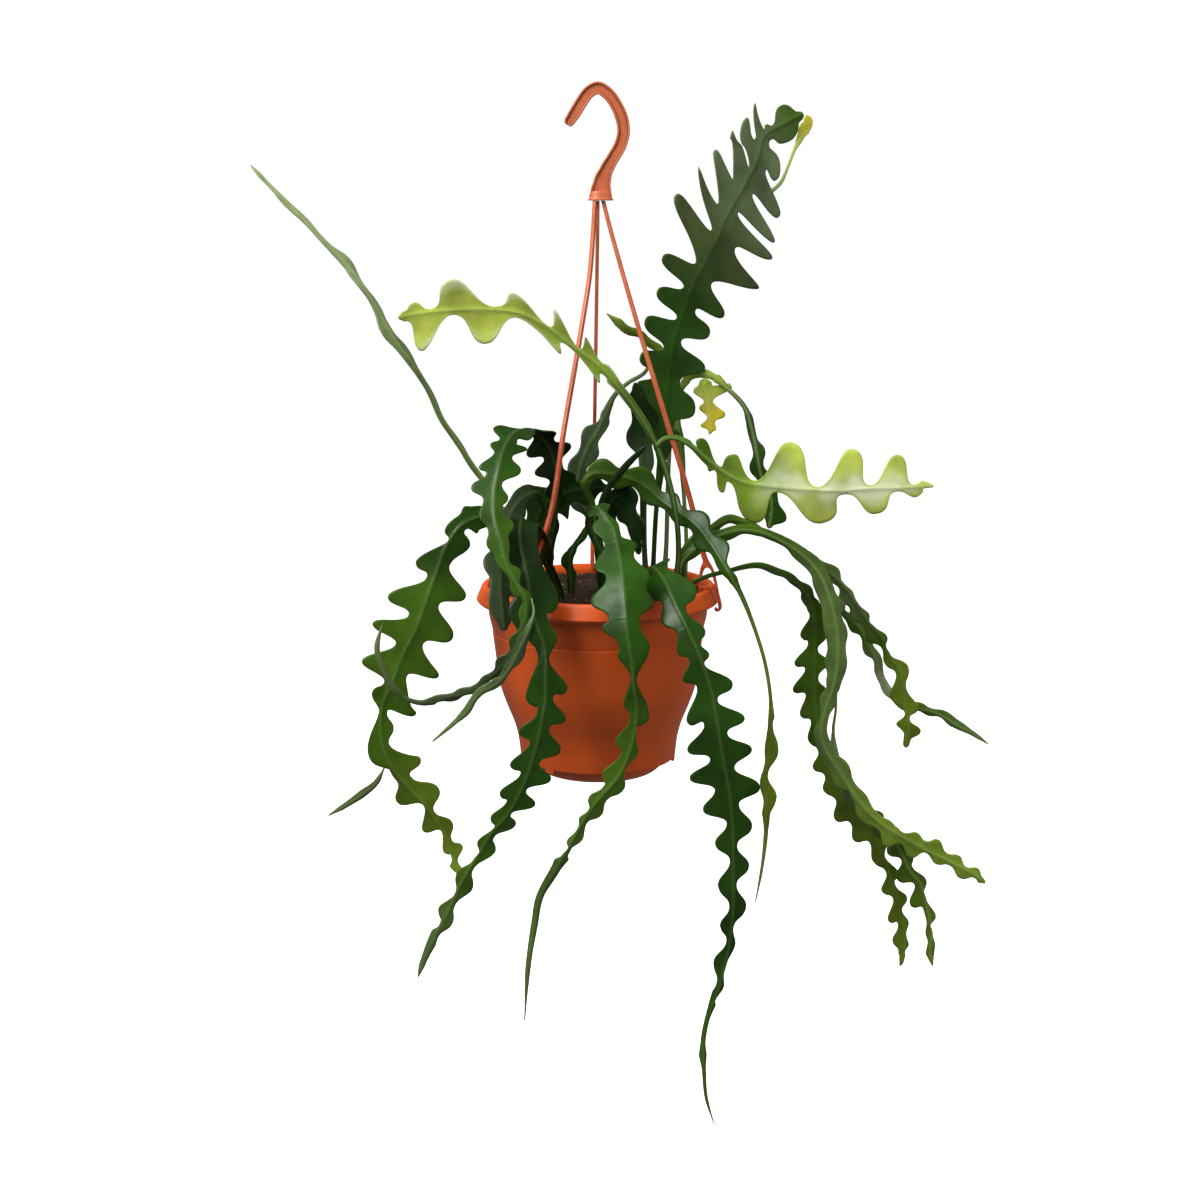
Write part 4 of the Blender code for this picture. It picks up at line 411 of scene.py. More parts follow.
        route=[(7, -0.5, -0.9, 0.3), (7.4, -0.7, 2.2, 0.5), (8.7, -0.9, 3.4, 0.7),
            (10.4, -1, 4.3, 0.7), (12.2, -1, 4.8, 0.55), (14, -1, 4.6, 0.4),
            (15.6, -1.1, 3.9, 0.45), (17.3, -1.3, 2.8, 0.65), (18.7, -1.6, 1.4, 0.9),
            (19.9, -2, -1.3, 1.1), (20.5, -2, -4, 1.1), (20.6, -2, -6.6, 1.1),
            (20.2, -2, -9, 1), (19.5, -2, -11.2, 0.8), (19.3, -2, -13, 0.6),
            (19.8, -2, -14.5, 0.7), (21, -2, -16.3, 0.9), (22.6, -2, -18.8, 0.9),
            (24.7, -2, -21, 1.1), (26.6, -2, -22.2, 1.3), (28.5, -2, -23.3, 1.3),
            (30.1, -2, -24.1, 1.1), (31.8, -2, -25, 1), (33.1, -2, -25.7, 0.7),
            (34.1, -2, -26.5, 0.15)]),
    "stem_right_low": dict(
        tone="mid", at=10, pitch=2.4, notch=0.6, fold=0.12,
        tones=((0, "deep"), (0.3, "leaf"), (0.5, "leaf"), (0.7, "moss"), (1, "moss")),
        edges=(
            [(18.3, -2.8), (17.7, -5), (18.3, -5.5), (17.2, -7.4), (18.1, -7.8), (17.1, -9.8),
             (18.2, -10.1), (17.8, -12), (18.7, -12.5), (18.6, -14.4), (19.4, -15.2),
             (19, -16.8), (20, -17.4), (20, -18.9), (21, -19.6), (21.1, -21.6), (22.4, -21.8),
             (22.8, -23.5), (24.2, -23.7), (24.6, -25.5), (25.7, -26.4), (25.4, -28.2),
             (26.4, -28.9), (26.1, -31), (26.9, -31.3), (26.5, -33), (27, -33.9)],
            [(19, -1.4), (19.6, -3), (19.6, -3.7), (19.9, -4.9), (19.2, -6), (20.1, -7.2),
             (19.3, -8.5), (20.1, -9.8), (19.6, -11.6), (20.1, -13), (19.9, -14.8), (21, -16.2),
             (21, -17.4), (22.2, -18.9), (22.9, -20.4), (23.8, -21), (24.5, -22.3),
             (25.6, -23.3), (25.6, -25), (26.8, -26.7), (26.3, -27.7), (27.7, -28.9),
             (27.2, -30), (27.9, -31.3), (27.4, -32.3), (27.8, -33.5), (27.3, -34.3)]),
        route=[(6.5, -4, -0.9, 0.28), (7.4, -4.3, 0.4, 0.25), (8.6, -4.6, 1.2, 0.25),
            (10.7, -4.5, 1.8, 0.25), (13.8, -4, 2.2, 0.35), (14.9, -3.5, 1.7, 0.4),
            (16.1, -3, 1.1, 0.5), (17.5, -2, -0.1, 0.6), (18.6, -0.6, -2.2, 0.9),
            (18.9, 0.4, -5.3, 1.3), (18.9, 0.5, -9.1, 1.5), (19.1, 0.5, -11.8, 1.3),
            (19.4, 0.5, -14.2, 1.1), (20.7, 0.5, -17.6, 1.2), (22.2, 0.5, -19.7, 1.3),
            (23.8, 0.5, -21.6, 1.3), (25.1, 0.5, -24.1, 1), (26, 0.5, -26.3, 0.9),
            (26.7, 0.5, -28.3, 0.9), (27.2, 0.5, -30.3, 0.9), (27.6, 0.5, -32.5, 0.7),
            (27.6, 0.5, -34, 0.5), (27.2, 0.5, -35.2, 0.15)]),
    "shoot_right_low": dict(
        tone="mid", at=7, pitch=2.2, notch=0.55,
        tones=((0, "dusty"), (0.2, "dusty"), (0.4, "grey"), (0.6, "leaf"), (1, "moss")),
        edges=(
            [(25.4, -22.8), (25.6, -24.2), (26.8, -24.8), (26.5, -26.6), (28, -27),
             (27.8, -29.1), (28.9, -29.4)],
            [(26.8, -23.2), (27.9, -24.6), (27.9, -25.5), (29.1, -27.1), (29, -28.4),
             (29.9, -30.4), (29.6, -31.6)]),
        route=[(20.6, -2, -9.1, 0.06), (20.6, -1.6, -10.9, 0.12), (20.5, -1, -12.8, 0.14),
            (20.7, -0.8, -15, 0.35), (21.4, -0.8, -17.2, 0.6), (23, -0.8, -19.7, 0.8),
            (24.8, -0.8, -21.6, 0.9), (26.1, -0.8, -22.9, 1), (26.9, -0.8, -24.3, 1),
            (27.6, -0.8, -25.7, 1.1), (28.6, -0.8, -27, 1), (29.1, -0.8, -28.7, 0.8),
            (29.5, -0.8, -30.3, 0.6), (29.7, -0.8, -31.8, 0.6), (29.6, -0.8, -33.1, 0.45),
            (29.9, -0.8, -34.7, 0.1)]),
    "stem_right_high": dict(
        tone="mid", at=11, pitch=3, notch=0.6, fold=0.12,
        tones=((0, "deep"), (0.3, "leaf"), (0.6, "grey"), (0.72, "leaf"), (0.82, "moss"),
            (1, "moss")),
        edges=(
            [(19.4, 1.8), (21.1, 0.7), (21.5, -0.3), (22.3, -1.2), (22.5, -2.3), (23.7, -3.2),
             (23.9, -4.3), (25.3, -5.4), (25.6, -6.6), (27.3, -8), (27.1, -9.6), (28.3, -11.4),
             (27.5, -12.5), (28.5, -13.6), (27.6, -14.4)],
            [(19.4, 0.7), (20, 0.2), (20.9, -0.6), (21.1, -1.9), (21.9, -2.4), (21.9, -3.3),
             (23.1, -3.9), (23.5, -5.3), (24.9, -6.2), (25.2, -7.5), (26.1, -8.2),
             (25.8, -10.6), (27, -11.8), (26.3, -12.8), (27, -13.9)]),
        route=[(7.5, 1, -0.9, 0.3), (7.4, 0.9, 2.4, 0.4), (8.8, 0.8, 3.8, 0.55),
            (10.3, 1, 4.9, 0.55), (11.5, 1, 5.4, 0.5), (12.7, 1, 5.2, 0.45),
            (14.2, 1, 4.3, 0.35), (15.6, 1, 3.8, 0.35), (17.1, 1, 2.9, 0.45),
            (18.7, 1, 1.7, 0.55), (20.5, 1, 0.4, 0.7), (22.2, 1, -1.5, 0.95),
            (23.5, 1, -3.5, 1), (25, 1, -5.3, 0.9), (25.5, 1, -6.6, 0.7), (26.5, 1, -8.1, 1),
            (26.9, 1, -9.7, 1.2), (27, 1, -11.1, 1.3), (27.4, 1, -12.7, 1.3),
            (27.2, 1, -15, 0.35)]),
    "shoot_right_high": dict(
        tone="grey", at=5, pitch=2.2, notch=0.5,
        tones=((0, "leaf"), (0.25, "leaf"), (0.36, "dusty"), (0.46, "waxy"), (0.56, "fresh"),
            (0.68, "leaf"), (1, "grey")),
        route=[(21.4, 1, -2.1, 0.06), (21.5, 2, -2.9, 0.25), (23, 2.4, -4.4, 0.7),
            (23.8, 2.3, -5.8, 0.7), (24.5, 2.2, -7.2, 0.5), (25.1, 2.2, -9.1, 0.35),
            (25.9, 2.3, -10.2, 0.6), (26.8, 2.4, -11.3, 0.7), (28.3, 2.4, -11.7, 0.55),
            (30, 2.2, -12.1, 0.5), (31.8, 2, -13.1, 0.42), (33.5, 2, -14.1, 0.22),
            (34.8, 2, -15, 0.06)]),
    "stem_back_rising": dict(
        tone="grey", at=3, pitch=3, notch=0.5,
        tones=((0, "shadow"), (0.3, "dim"), (0.7, "dim"), (1, "grey")),
        route=[(0.6, 3.4, -0.9, 0.3), (0.2, 3.4, 3, 0.26), (-1.8, 3.3, 8.4, 1.2),
            (-0.9, 3.5, 11.3, 1.3), (0, 4, 12.8, 1), (0.8, 4.5, 14.5, 0.35),
            (1.4, 5, 15.7, 0.22), (2.6, 5.5, 16.8, 0.18), (4.1, 6, 17.7, 0.18),
            (4.8, 6.4, 18.8, 0.06)]),
    "stem_centre_dark": dict(
        tone="shade", at=5, pitch=3.6, notch=0.6, rib="shadow",
        tones=((0, "grey"), (0.68, "dim"), (0.8, "shadow"), (1, "shadow")),
        route=[(4.2, 0.5, -0.9, 0.3), (4, 0.4, 3, 0.24), (3.9, 0.4, 7.2, 0.3),
            (4, 0.4, 9.8, 0.6), (3.8, 0.4, 12.3, 1.3), (3.7, 0.2, 14.5, 1.4), (3.5, 0, 16.2, 1),
            (3.1, 0, 17.3, 0.2)]),
    "stem_centre_right": dict(
        tone="shade", at=3, pitch=2.6, notch=0.5, rib="shadow",
        tones=((0, "shadow"), (1, "shadow")),
        route=[(1.5, 1.3, -0.9, 0.3), (1.2, 1.1, 3, 0.5), (1.1, 0.5, 6, 1.1),
            (1.5, 0, 7.4, 1.5), (2.3, -0.4, 7.2, 1.6), (2.8, -0.8, 5.9, 1.6),
            (3.2, -1.1, 4.3, 1.3), (3.5, -1.3, 2.7, 0.4)]),
    "stem_centre_left": dict(
        tone="shade", at=3, pitch=2.8, notch=0.5, rib="shadow",
        tones=((0, "shadow"), (1, "shadow")),
        route=[(-5, 1.8, -0.9, 0.3), (-5.2, 1.7, 3, 0.8), (-5.1, 1.5, 5.6, 2.1),
            (-4, 1.3, 7.1, 2.1), (-2.6, 1, 7.7, 1.7), (-1.1, 0.8, 8, 1.5), (0.3, 0.8, 8.2, 0.8),
            (0.9, 0.8, 8.3, 0.2)]),
    "stem_centre_thin": dict(
        tone="shade", at=2, pitch=3, rib="shadow",
        tones=((0, "shadow"), (1, "shadow")),
        route=[(0.3, -1, -0.9, 0.3), (0, -1.4, 4, 0.3), (0.6, -1.9, 8, 0.3),
            (2.3, -2.4, 10.4, 0.3), (4, -2.9, 12.2, 0.2)]),
    "stem_centre_short": dict(
        tone="shade", at=3, pitch=2,
        tones=((0, "shadow"), (1, "deep")),
        route=[(-2.3, -2, -0.9, 0.3), (-2.3, -2, 0.3, 0.32), (-2.4, -1.9, 1.6, 0.8),
            (-2.4, -1.9, 2.6, 0.6), (-2, -1.8, 3.5, 0.25), (-1.2, -1.7, 4.5, 0.35),
            (-0.9, -1.7, 5.5, 0.08)]),
}


def place(x, y, z):
    """A point given in centimetres from the rim's centre, in the row frame."""
    return Vector((x * CM, y * CM, (z - RIM_DROP) * CM))


# ---------------------------------------------------------------- meshes

def add_object(name, mesh):
    piece = bpy.data.objects.new(name, mesh)
    bpy.context.scene.collection.objects.link(piece)
    return piece


def add_mesh(name, points, faces):
    mesh = bpy.data.meshes.new(name)
    mesh.from_pydata([tuple(p) for p in points], [], faces)
    mesh.shade_smooth()
    return add_object(name, mesh)


def mark(piece, name, values):
    """Gives each point of a mesh a value that its material reads."""
    attribute = piece.data.attributes.new(name, "FLOAT", "POINT")
    attribute.data.foreach_set("value", np.array(values, np.float32))


def face_outwards(piece, crease=radians(40), weld=False):
    """Turns every face outwards, first joining the points that share a place if weld is set."""
    shell = bmesh.new()
    shell.from_mesh(piece.data)
    if weld:
        bmesh.ops.remove_doubles(shell, verts=shell.verts, dist=0.00001)
        bmesh.ops.dissolve_degenerate(shell, edges=shell.edges, dist=0.00001)
    bmesh.ops.recalc_face_normals(shell, faces=shell.faces)
    shell.to_mesh(piece.data)
    shell.free()
    piece.data.shade_smooth()
    if crease:
        piece.data.set_sharp_from_angle(angle=crease)


def add_to(piece, other):
    """Moves another piece's mesh into this one."""
    shell = bmesh.new()
    shell.from_mesh(piece.data)
    shell.from_mesh(other.data)
    shell.to_mesh(piece.data)
    shell.free()
    bpy.data.objects.remove(other)


def circle(sides):
    """Points of a circle of radius 1."""
    return [(cos(2 * pi * k / sides), sin(2 * pi * k / sides)) for k in range(sides)]


def band(low, high, sides):
    """Faces between two closed rings of points, which start at low and at high."""
    return [(low + k, low + (k + 1) % sides, high + (k + 1) % sides, high + k)
            for k in range(sides)]


def bands(rings, sides):
    """Faces of a tube of rings that follow each other from point 0, with both its ends closed."""
    faces = [tuple(range(sides))[::-1], tuple(range((rings - 1) * sides, rings * sides))]
    for ring in range(rings - 1):
        faces += band(ring * sides, (ring + 1) * sides, sides)
    return faces


def smooth_line(points, spacing, size=3):
    """Places, distances along and other values, sampled on the same curve as the CAD part's."""
    places = np.array([p[:size] for p in points], float)
    rest = np.array([p[size:] for p in points], float)
    steps = np.linalg.norm(np.diff(places, axis=0), axis=1)
    knots = np.concatenate([[0.0], np.cumsum(steps)])
    slopes = np.zeros_like(places)
    runs = np.diff(places, axis=0) / steps[:, None]
    slopes[0], slopes[-1] = runs[0], runs[-1]
    for i in range(1, len(points) - 1):
        left, right = steps[i - 1], steps[i]
        slopes[i] = (runs[i - 1] * right + runs[i] * left) / (left + right)
    out_p, out_s, out_r = [], [], []
    for i, span in enumerate(steps):
        count = max(1, int(np.ceil(span / spacing)))
        t = np.arange(count + (i == len(steps) - 1)) / count
        c = t[:, None]
        out_p.append((2 * c**3 - 3 * c**2 + 1) * places[i]
                     + (c**3 - 2 * c**2 + c) * span * slopes[i]
                     + (3 * c**2 - 2 * c**3) * places[i + 1]
                     + (c**3 - c**2) * span * slopes[i + 1])
        out_s.append(knots[i] + t * span)
        out_r.append(rest[i] + (rest[i + 1] - rest[i]) * (c * c * (3 - 2 * c)))
    return np.concatenate(out_p), np.concatenate(out_s), np.concatenate(out_r)


def fine(points):
    """Points close together on the smooth line through a few."""
    return [tuple(p) for p in smooth_line(points, OUTLINE_STEP, 2)[0]]


def heading(places, i):
    """The unit vector along a line of places at place i."""
    along = places[min(i + 1, len(places) - 1)] - places[max(i - 1, 0)]
    return along / np.linalg.norm(along)


# ---------------------------------------------------------------- stems

# A point of a blade's edge: where the row of the mesh that ends there leaves the midrib, how far
# along and how far out the point stands, its kind ("dip", "tip", "plain" or "end") and how full the
# curve is there.
Node = namedtuple("Node", "mid run out kind full")


class Blade:
    """A stem's midrib, its frames and the lobes of its two edges."""

    def __init__(self, stem):
        self.notch = stem.get("notch", 0.4)
        route = [(*p, 0)[:5] for p in stem["route"]]
        at = stem["at"]
        x, y, z, reach, twist = route[0]
        if z == SOIL_LEVEL:
            route[:0] = [(x, y, ROOT_Z, reach, twist), (x, y, (ROOT_Z + z) / 2, reach, twist)]
            at += 2
        self.centres, self.runs, rest = smooth_line(route, ROUTE_STEP)
        self.reaches = rest[:, 0]
        anchor = int(np.argmin(np.linalg.norm(self.centres - np.array(route[at][:3]), axis=1)))
        self.make_frames(Vector(stem.get("face", FRONT)), anchor, np.radians(rest[:, 1]))
        self.find_lobes(stem.get("edges", ()), stem.get("pitch"))

    def make_frames(self, face, anchor, twists):
        """The directions out of the blade's face and across it, at each sample of the midrib."""
        last = len(self.centres) - 1
        ahead = self.centres[np.minimum(np.arange(last + 1) + 1, last)]
        behind = self.centres[np.maximum(np.arange(last + 1) - 1, 0)]
        alongs = [Vector(v).normalized() for v in ahead - behind]
        normal = alongs[0].orthogonal().normalized()
        normals = []
        for i in range(last + 1):
            if i:
                normal = alongs[i - 1].rotation_difference(alongs[i]) @ normal
            normal = (normal - alongs[i] * normal.dot(alongs[i])).normalized()
            normals.append(normal)
        along = alongs[anchor]
        wanted = (face - along * face.dot(along)).normalized()
        turn = atan2(wanted.dot(along.cross(normals[anchor])), wanted.dot(normals[anchor]))
        self.faces = np.array([Quaternion(alongs[i], turn + twists[i] - twists[anchor]) @ normals[i]
                               for i in range(last + 1)])
        self.rights = np.cross(np.array(alongs), self.faces)

    def find_lobes(self, lines, pitch):
        """Sorts by side the given edges, as (run, reach, fullness) points, and the evenly spaced
        tips."""
        self.edges = {1: [], -1: []}
        end = self.runs[-1]
        for line in lines:
            loose = [self.beside(x, z, 0.0, end, 0)[1] for x, z, *_ in line[1::2]]
            sign = 1 if sum(loose) > 0 else -1
            low, points = 0.0, []
            for k, (x, z, *full) in enumerate(line):
                tip = k % 2 == 1
                run, reach = self.beside(x, z, low - 2.5 if tip else low,
                                         low + 7.0 if k else end, sign)
                points.append((run, max(reach * sign, LEAST_REACH), full[0] if full else None))
                if not tip:
                    low = run + 0.15
            self.edges[sign].append(points)
        count = int(end / pitch) if pitch else 0
        self.tips = {1: [pitch * (k + 0.5) for k in range(count)],
                     -1: [pitch * (k + 1.0) for k in range(count)]}

    def beside(self, x, z, low, high, sign):
        """Where the point seen at x and z stands: the run of its row, and how far out it is."""
        rx, rz = self.rights[:, 0], self.rights[:, 2]
        dx, dz = x - self.centres[:, 0], z - self.centres[:, 2]
        reach = (dx * rx + dz * rz) / (rx**2 + rz**2)
        miss = (dx - reach * rx)**2 + (dz - reach * rz)**2 + 0.01 * reach**2
        miss[(self.runs < low) | (self.runs > high)] = 1e9
        if sign:
            miss[reach * sign < 0] += 1.0
        best = int(np.argmin(miss))
        return self.runs[best], float(reach[best])

    def reach_at(self, run):
        return float(np.interp(run, self.runs, self.reaches))

    def at_runs(self, s, rows):
        """Rows of an array of vectors, read at distances s."""
        flat = s.ravel()
        out = np.stack([np.interp(flat, self.runs, rows[:, k]) for k in range(3)], axis=1)
        return out.reshape(*s.shape, 3)


def bezier(a, b, c, d, t):
    t = t[:, None]
    return (1 - t)**3 * a + 3 * (1 - t)**2 * t * b + 3 * (1 - t) * t**2 * c + t**3 * d


def edge_nodes(blade, sign, rng):
    """The nodes of one edge, in order from the stem's base."""
    runs, given, tips = blade.runs, blade.edges[sign], blade.tips[sign]

    def clear(run, margin):
        """Whether no stretch of the edge that is given point by point is there."""
        return not any(line[0][0] - margin < run < line[-1][0] + margin for line in given)

    nodes = []
    for line in given:
        for k, (run, out, full) in enumerate(line):
            if k % 2:
                nodes.append(Node((line[k - 1][0] + line[k + 1][0]) / 2, run, out, "tip", full))
            else:
                nodes.append(Node(run, run, out, "dip", full))
    lobed = blade.reaches > STALK_REACH
    bounds = [int(b) + 1 for b in np.flatnonzero(np.diff(lobed.astype(int)))]
    for a, b in zip([0] + bounds, bounds + [len(runs)]):
        first, last = runs[a], runs[b - 1]
        inside = [s for s in tips if first + 0.25 <= s <= last - 0.15 and clear(s, 0.5)]
        if not lobed[a] or not inside:
            width = 1.0 if not lobed[a] or given else 0.75
            nodes += [Node(s, s, blade.reach_at(s) * width, "plain", None)
                      for s in np.arange(first, last, 0.5) if clear(s, 0.3)]
            continue
        pitch = tips[1] - tips[0]
        for s in inside:
            s = s + 0.2 * rng.uniform(-1, 1)
            reach = blade.reach_at(s) * (1 + 0.15 * rng.uniform(-1, 1))
            half = pitch * (0.5 + 0.06 * rng.uniform(-1, 1))
            for notch in (s - half, s + half):
                if first + 0.1 < notch < last - 0.1 and clear(notch, 0.3):
                    low = max(NOTCH_REACH, blade.reach_at(notch) * blade.notch)
                    nodes.append(Node(notch, notch, low, "dip", None))
            nodes.append(Node(s, s, reach, "tip", None))
    return sorted(nodes, key=lambda n: n.mid)


def spaced_nodes(blade, sign, rng):
    """An edge's nodes without those that stand too close together, closed with a blunt tip."""
    end = blade.runs[-1]
    nodes = edge_nodes(blade, sign, rng)
    kept = [nodes[0]]
    for node in nodes[1:]:
        gap = node.mid - kept[-1].mid
        close = gap < 0.12 or (node.kind == kept[-1].kind == "dip" and gap < 0.4)
        if not close and node.mid < end - 0.1:
            kept.append(node)
    blunt = max(0.06, min(float(blade.reaches[-3]), 0.6))
    kept = [n for n in kept if n.mid < end - blunt * 0.8]
    shoulder = end - blunt * 0.7
    if kept[-1].mid < shoulder - 0.1:
        kept.append(Node(shoulder, shoulder, max(0.8 * blunt, 0.05), "plain", None))
    return kept + [Node(end, end, 0.0, "end", None)]


def outline(blade, sign, stem, rng):
    """The edge on one side, as three arrays: where its row leaves the midrib, how far along the
    edge point stands, and how far out. Then where its notches are."""
    end = blade.runs[-1]
    nodes = spaced_nodes(blade, sign, rng)
    shares = {"tip": stem.get("tip", 0.50), "dip": stem.get("dip", 0.48), "plain": 0.33}
    mids, edge = [], []
    for a, b in zip(nodes, nodes[1:]):
        start, stop = np.array([a.run, a.out]), np.array([b.run, b.out])
        handles = []
        for node, sense in ((a, 1), (b, -1)):
            if node.kind == "end":
                step = np.array([0.0, 0.55 * a.out])
            else:
                way = np.array([1.0, 0.0])
                if node.kind == "tip":
                    way = np.array([node.out, node.mid - node.run])
                    way /= np.linalg.norm(way)
                share = shares[node.kind] if node.full is None else node.full
                step = way * sense * share * (b.mid - a.mid)
            handles.append(np.array([node.run, node.out]) + step)
        count = max(2, int(np.ceil(np.linalg.norm(stop - start) / EDGE_STEP)))
        t = np.arange(count) / count
        mids.append(a.mid + (b.mid - a.mid) * t)
        edge.append(bezier(start, *handles, stop, t))
    mids = np.append(np.concatenate(mids), end)
    edge = np.concatenate(edge + [[[end, 0.0]]])
    dips = np.array([n.mid for n in nodes if n.kind == "dip"])
    return mids, np.clip(edge[:, 0], 0, end), np.maximum(edge[:, 1], 0.0), dips


def mesh_rows(blade, edges, spacing):
    """Where the rows of the mesh leave the midrib: their edge points lie about a spacing apart."""
    wanted = []
    for mids, alongs, outs, _ in edges:
        steps = np.hypot(np.diff(alongs), np.diff(outs))
        lengths = np.concatenate([[0.0], np.cumsum(steps)])
        even = np.linspace(0, lengths[-1], max(4, int(lengths[-1] / spacing)))
        wanted.append(np.interp(even, lengths, mids))
    rows = np.sort(np.concatenate(wanted))
    keep = [rows[0]]
    for s in rows[1:]:
        if s - keep[-1] > ROW_GAP:
            keep.append(s)
    keep[-1] = blade.runs[-1]
    return np.array(keep)


class Body:
    """How thick a stem is, and how its blade bends, at each row of its mesh."""

    def __init__(self, blade, stem, rows, rng):
        self.end = blade.runs[-1]
        reach = np.interp(rows, blade.runs, blade.reaches)
        taper = np.clip((self.end - rows) / 9.0, 0.0, 1.0)**0.7
        self.ridge = np.minimum(np.maximum(0.62 * reach, 0.045), 0.10 + 0.07 * taper)
        self.flat = np.minimum(0.055 + 0.03 * taper, self.ridge)
        self.stalk = 1 - np.clip((reach - STALK_REACH) / 0.3, 0, 1)
        self.cup, self.fold = stem.get("cup", 0.0), stem.get("fold", 0.0)
        self.wave = stem.get("wave", 0.15)
        self.waves = [(rng.uniform(0.35, 0.7), rng.uniform(0, 2 * pi)) for _ in range(3)]

    def lift(self, s, t, sign):
        """How far the blade stands off the flat at distances s along and t out."""
        ripple = sum(np.sin(2 * pi * s * f / 3.1 + p + sign) for f, p in self.waves) / 3
        return (self.cup * t**2 + self.wave * 0.16 * ripple * t**1.5
                - self.fold * (np.sqrt(t**2 + 0.04) - 0.2))

    def half_thickness(self, far, t, u):
        """A lens-shaped stalk that goes over to a thin blade with a midrib and a rounded rim."""
        ridge, flat, stalk = (v[:, None] for v in (self.ridge, self.flat, self.stalk))
        blade = flat + (ridge - flat) * np.exp(-(t / RIB_WIDTH)**2)
        edge = np.minimum(EDGE_ROUND, 0.5 * far)[:, None]
        near = np.clip((t - (far[:, None] - edge)) / np.maximum(edge, 1e-6), 0, 1)
        rounded = ridge * np.sqrt(np.clip(1 - u**2, 0, 1))
        return (1 - stalk) * (blade * np.sqrt(1 - near**2)) + stalk * rounded


def build_stem(name, stem, rng):
    """Each half of the blade is a sheet of rows and columns on its face and one on its back, which
    share the midrib's column with the other half and the rim's column with each other."""
    blade = Blade(stem)
    broad = float(blade.reaches.max()) > BROAD
    edges = {sign: outline(blade, sign, stem, rng) for sign in (1, -1)}
    rows = mesh_rows(blade, edges.values(), 0.20 if broad else 0.24)
    body = Body(blade, stem, rows, rng)
    count = len(rows)
    columns = np.array(BROAD_COLUMNS if broad else SLIM_COLUMNS)
    rim = len(columns) - 1
    marks = {"across": [], "rib": [], "along": [], "vein": []}
    points, index, faces = [], {}, []
    for sign in (1, -1):
        mids, alongs, outs, dips = edges[sign]
        far = np.interp(rows, mids, outs)
        slide = np.interp(rows, mids, alongs)
        u = columns[None, :]
        t = far[:, None] * u
        s = np.clip(rows[:, None] + (slide - rows)[:, None] * u**1.2, 0, body.end)
        centre, right, face = (blade.at_runs(s, v)
                               for v in (blade.centres, blade.rights, blade.faces))
        face /= np.linalg.norm(face, axis=2, keepdims=True)
        lift, thick = body.lift(s, t, sign), body.half_thickness(far, t, u)
        crease = np.zeros(count)
        if len(dips):
            nearest = np.min(np.abs(rows[:, None] - dips[None, :]), axis=1)
            crease = np.exp(-(nearest / 0.10)**2)
        for layer in (1, -1):
            spot = centre + right * (sign * t)[..., None] + face * (lift + layer * thick)[..., None]
            ids = np.empty((count, rim + 1), int)
            for j, share in enumerate(columns):
                if j == 0 and sign == -1:
                    ids[:, 0] = index[1, layer][:, 0]
                elif j == rim and layer == -1:
                    ids[:, j] = index[sign, 1][:, j]
                else:
                    ids[:, j] = np.arange(count) + count * len(points)
                    points.append(spot[:, j])
                    marks["across"].append(np.full(count, share))
                    marks["rib"].append(np.exp(-(t[:, j] / 0.11)**2))
                    marks["along"].append(s[:, j] / body.end)
                    marks["vein"].append(crease * (1 - share)**0.5)
            index[sign, layer] = ids
            a, b, c, d = (v.ravel() for v in (ids[:-1, :-1], ids[1:, :-1],
                                              ids[1:, 1:], ids[:-1, 1:]))
            faces.append(np.stack([a, d, c, b] if sign * layer > 0 else [a, b, c, d], axis=1))
    faces = [tuple(q) for q in np.concatenate(faces).tolist()]
    base = {key: ids[0].tolist() for key, ids in index.items()}
    faces.append(tuple(base[1, 1] + base[1, -1][-2::-1] + base[-1, -1][1:] + base[-1, 1][-2:0:-1]))
    points = (np.concatenate(points) - np.array([0, 0, RIM_DROP])) * CM
    piece = add_mesh("blade_" + name, points, faces)
    for label, values in marks.items():
        mark(piece, label, np.concatenate(values))
    face_outwards(piece, None, weld=True)
    piece.data.materials.append(leaf_material(name, stem, rng))
    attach(piece, "root")
    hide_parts(name)


# ---------------------------------------------------------------- materials

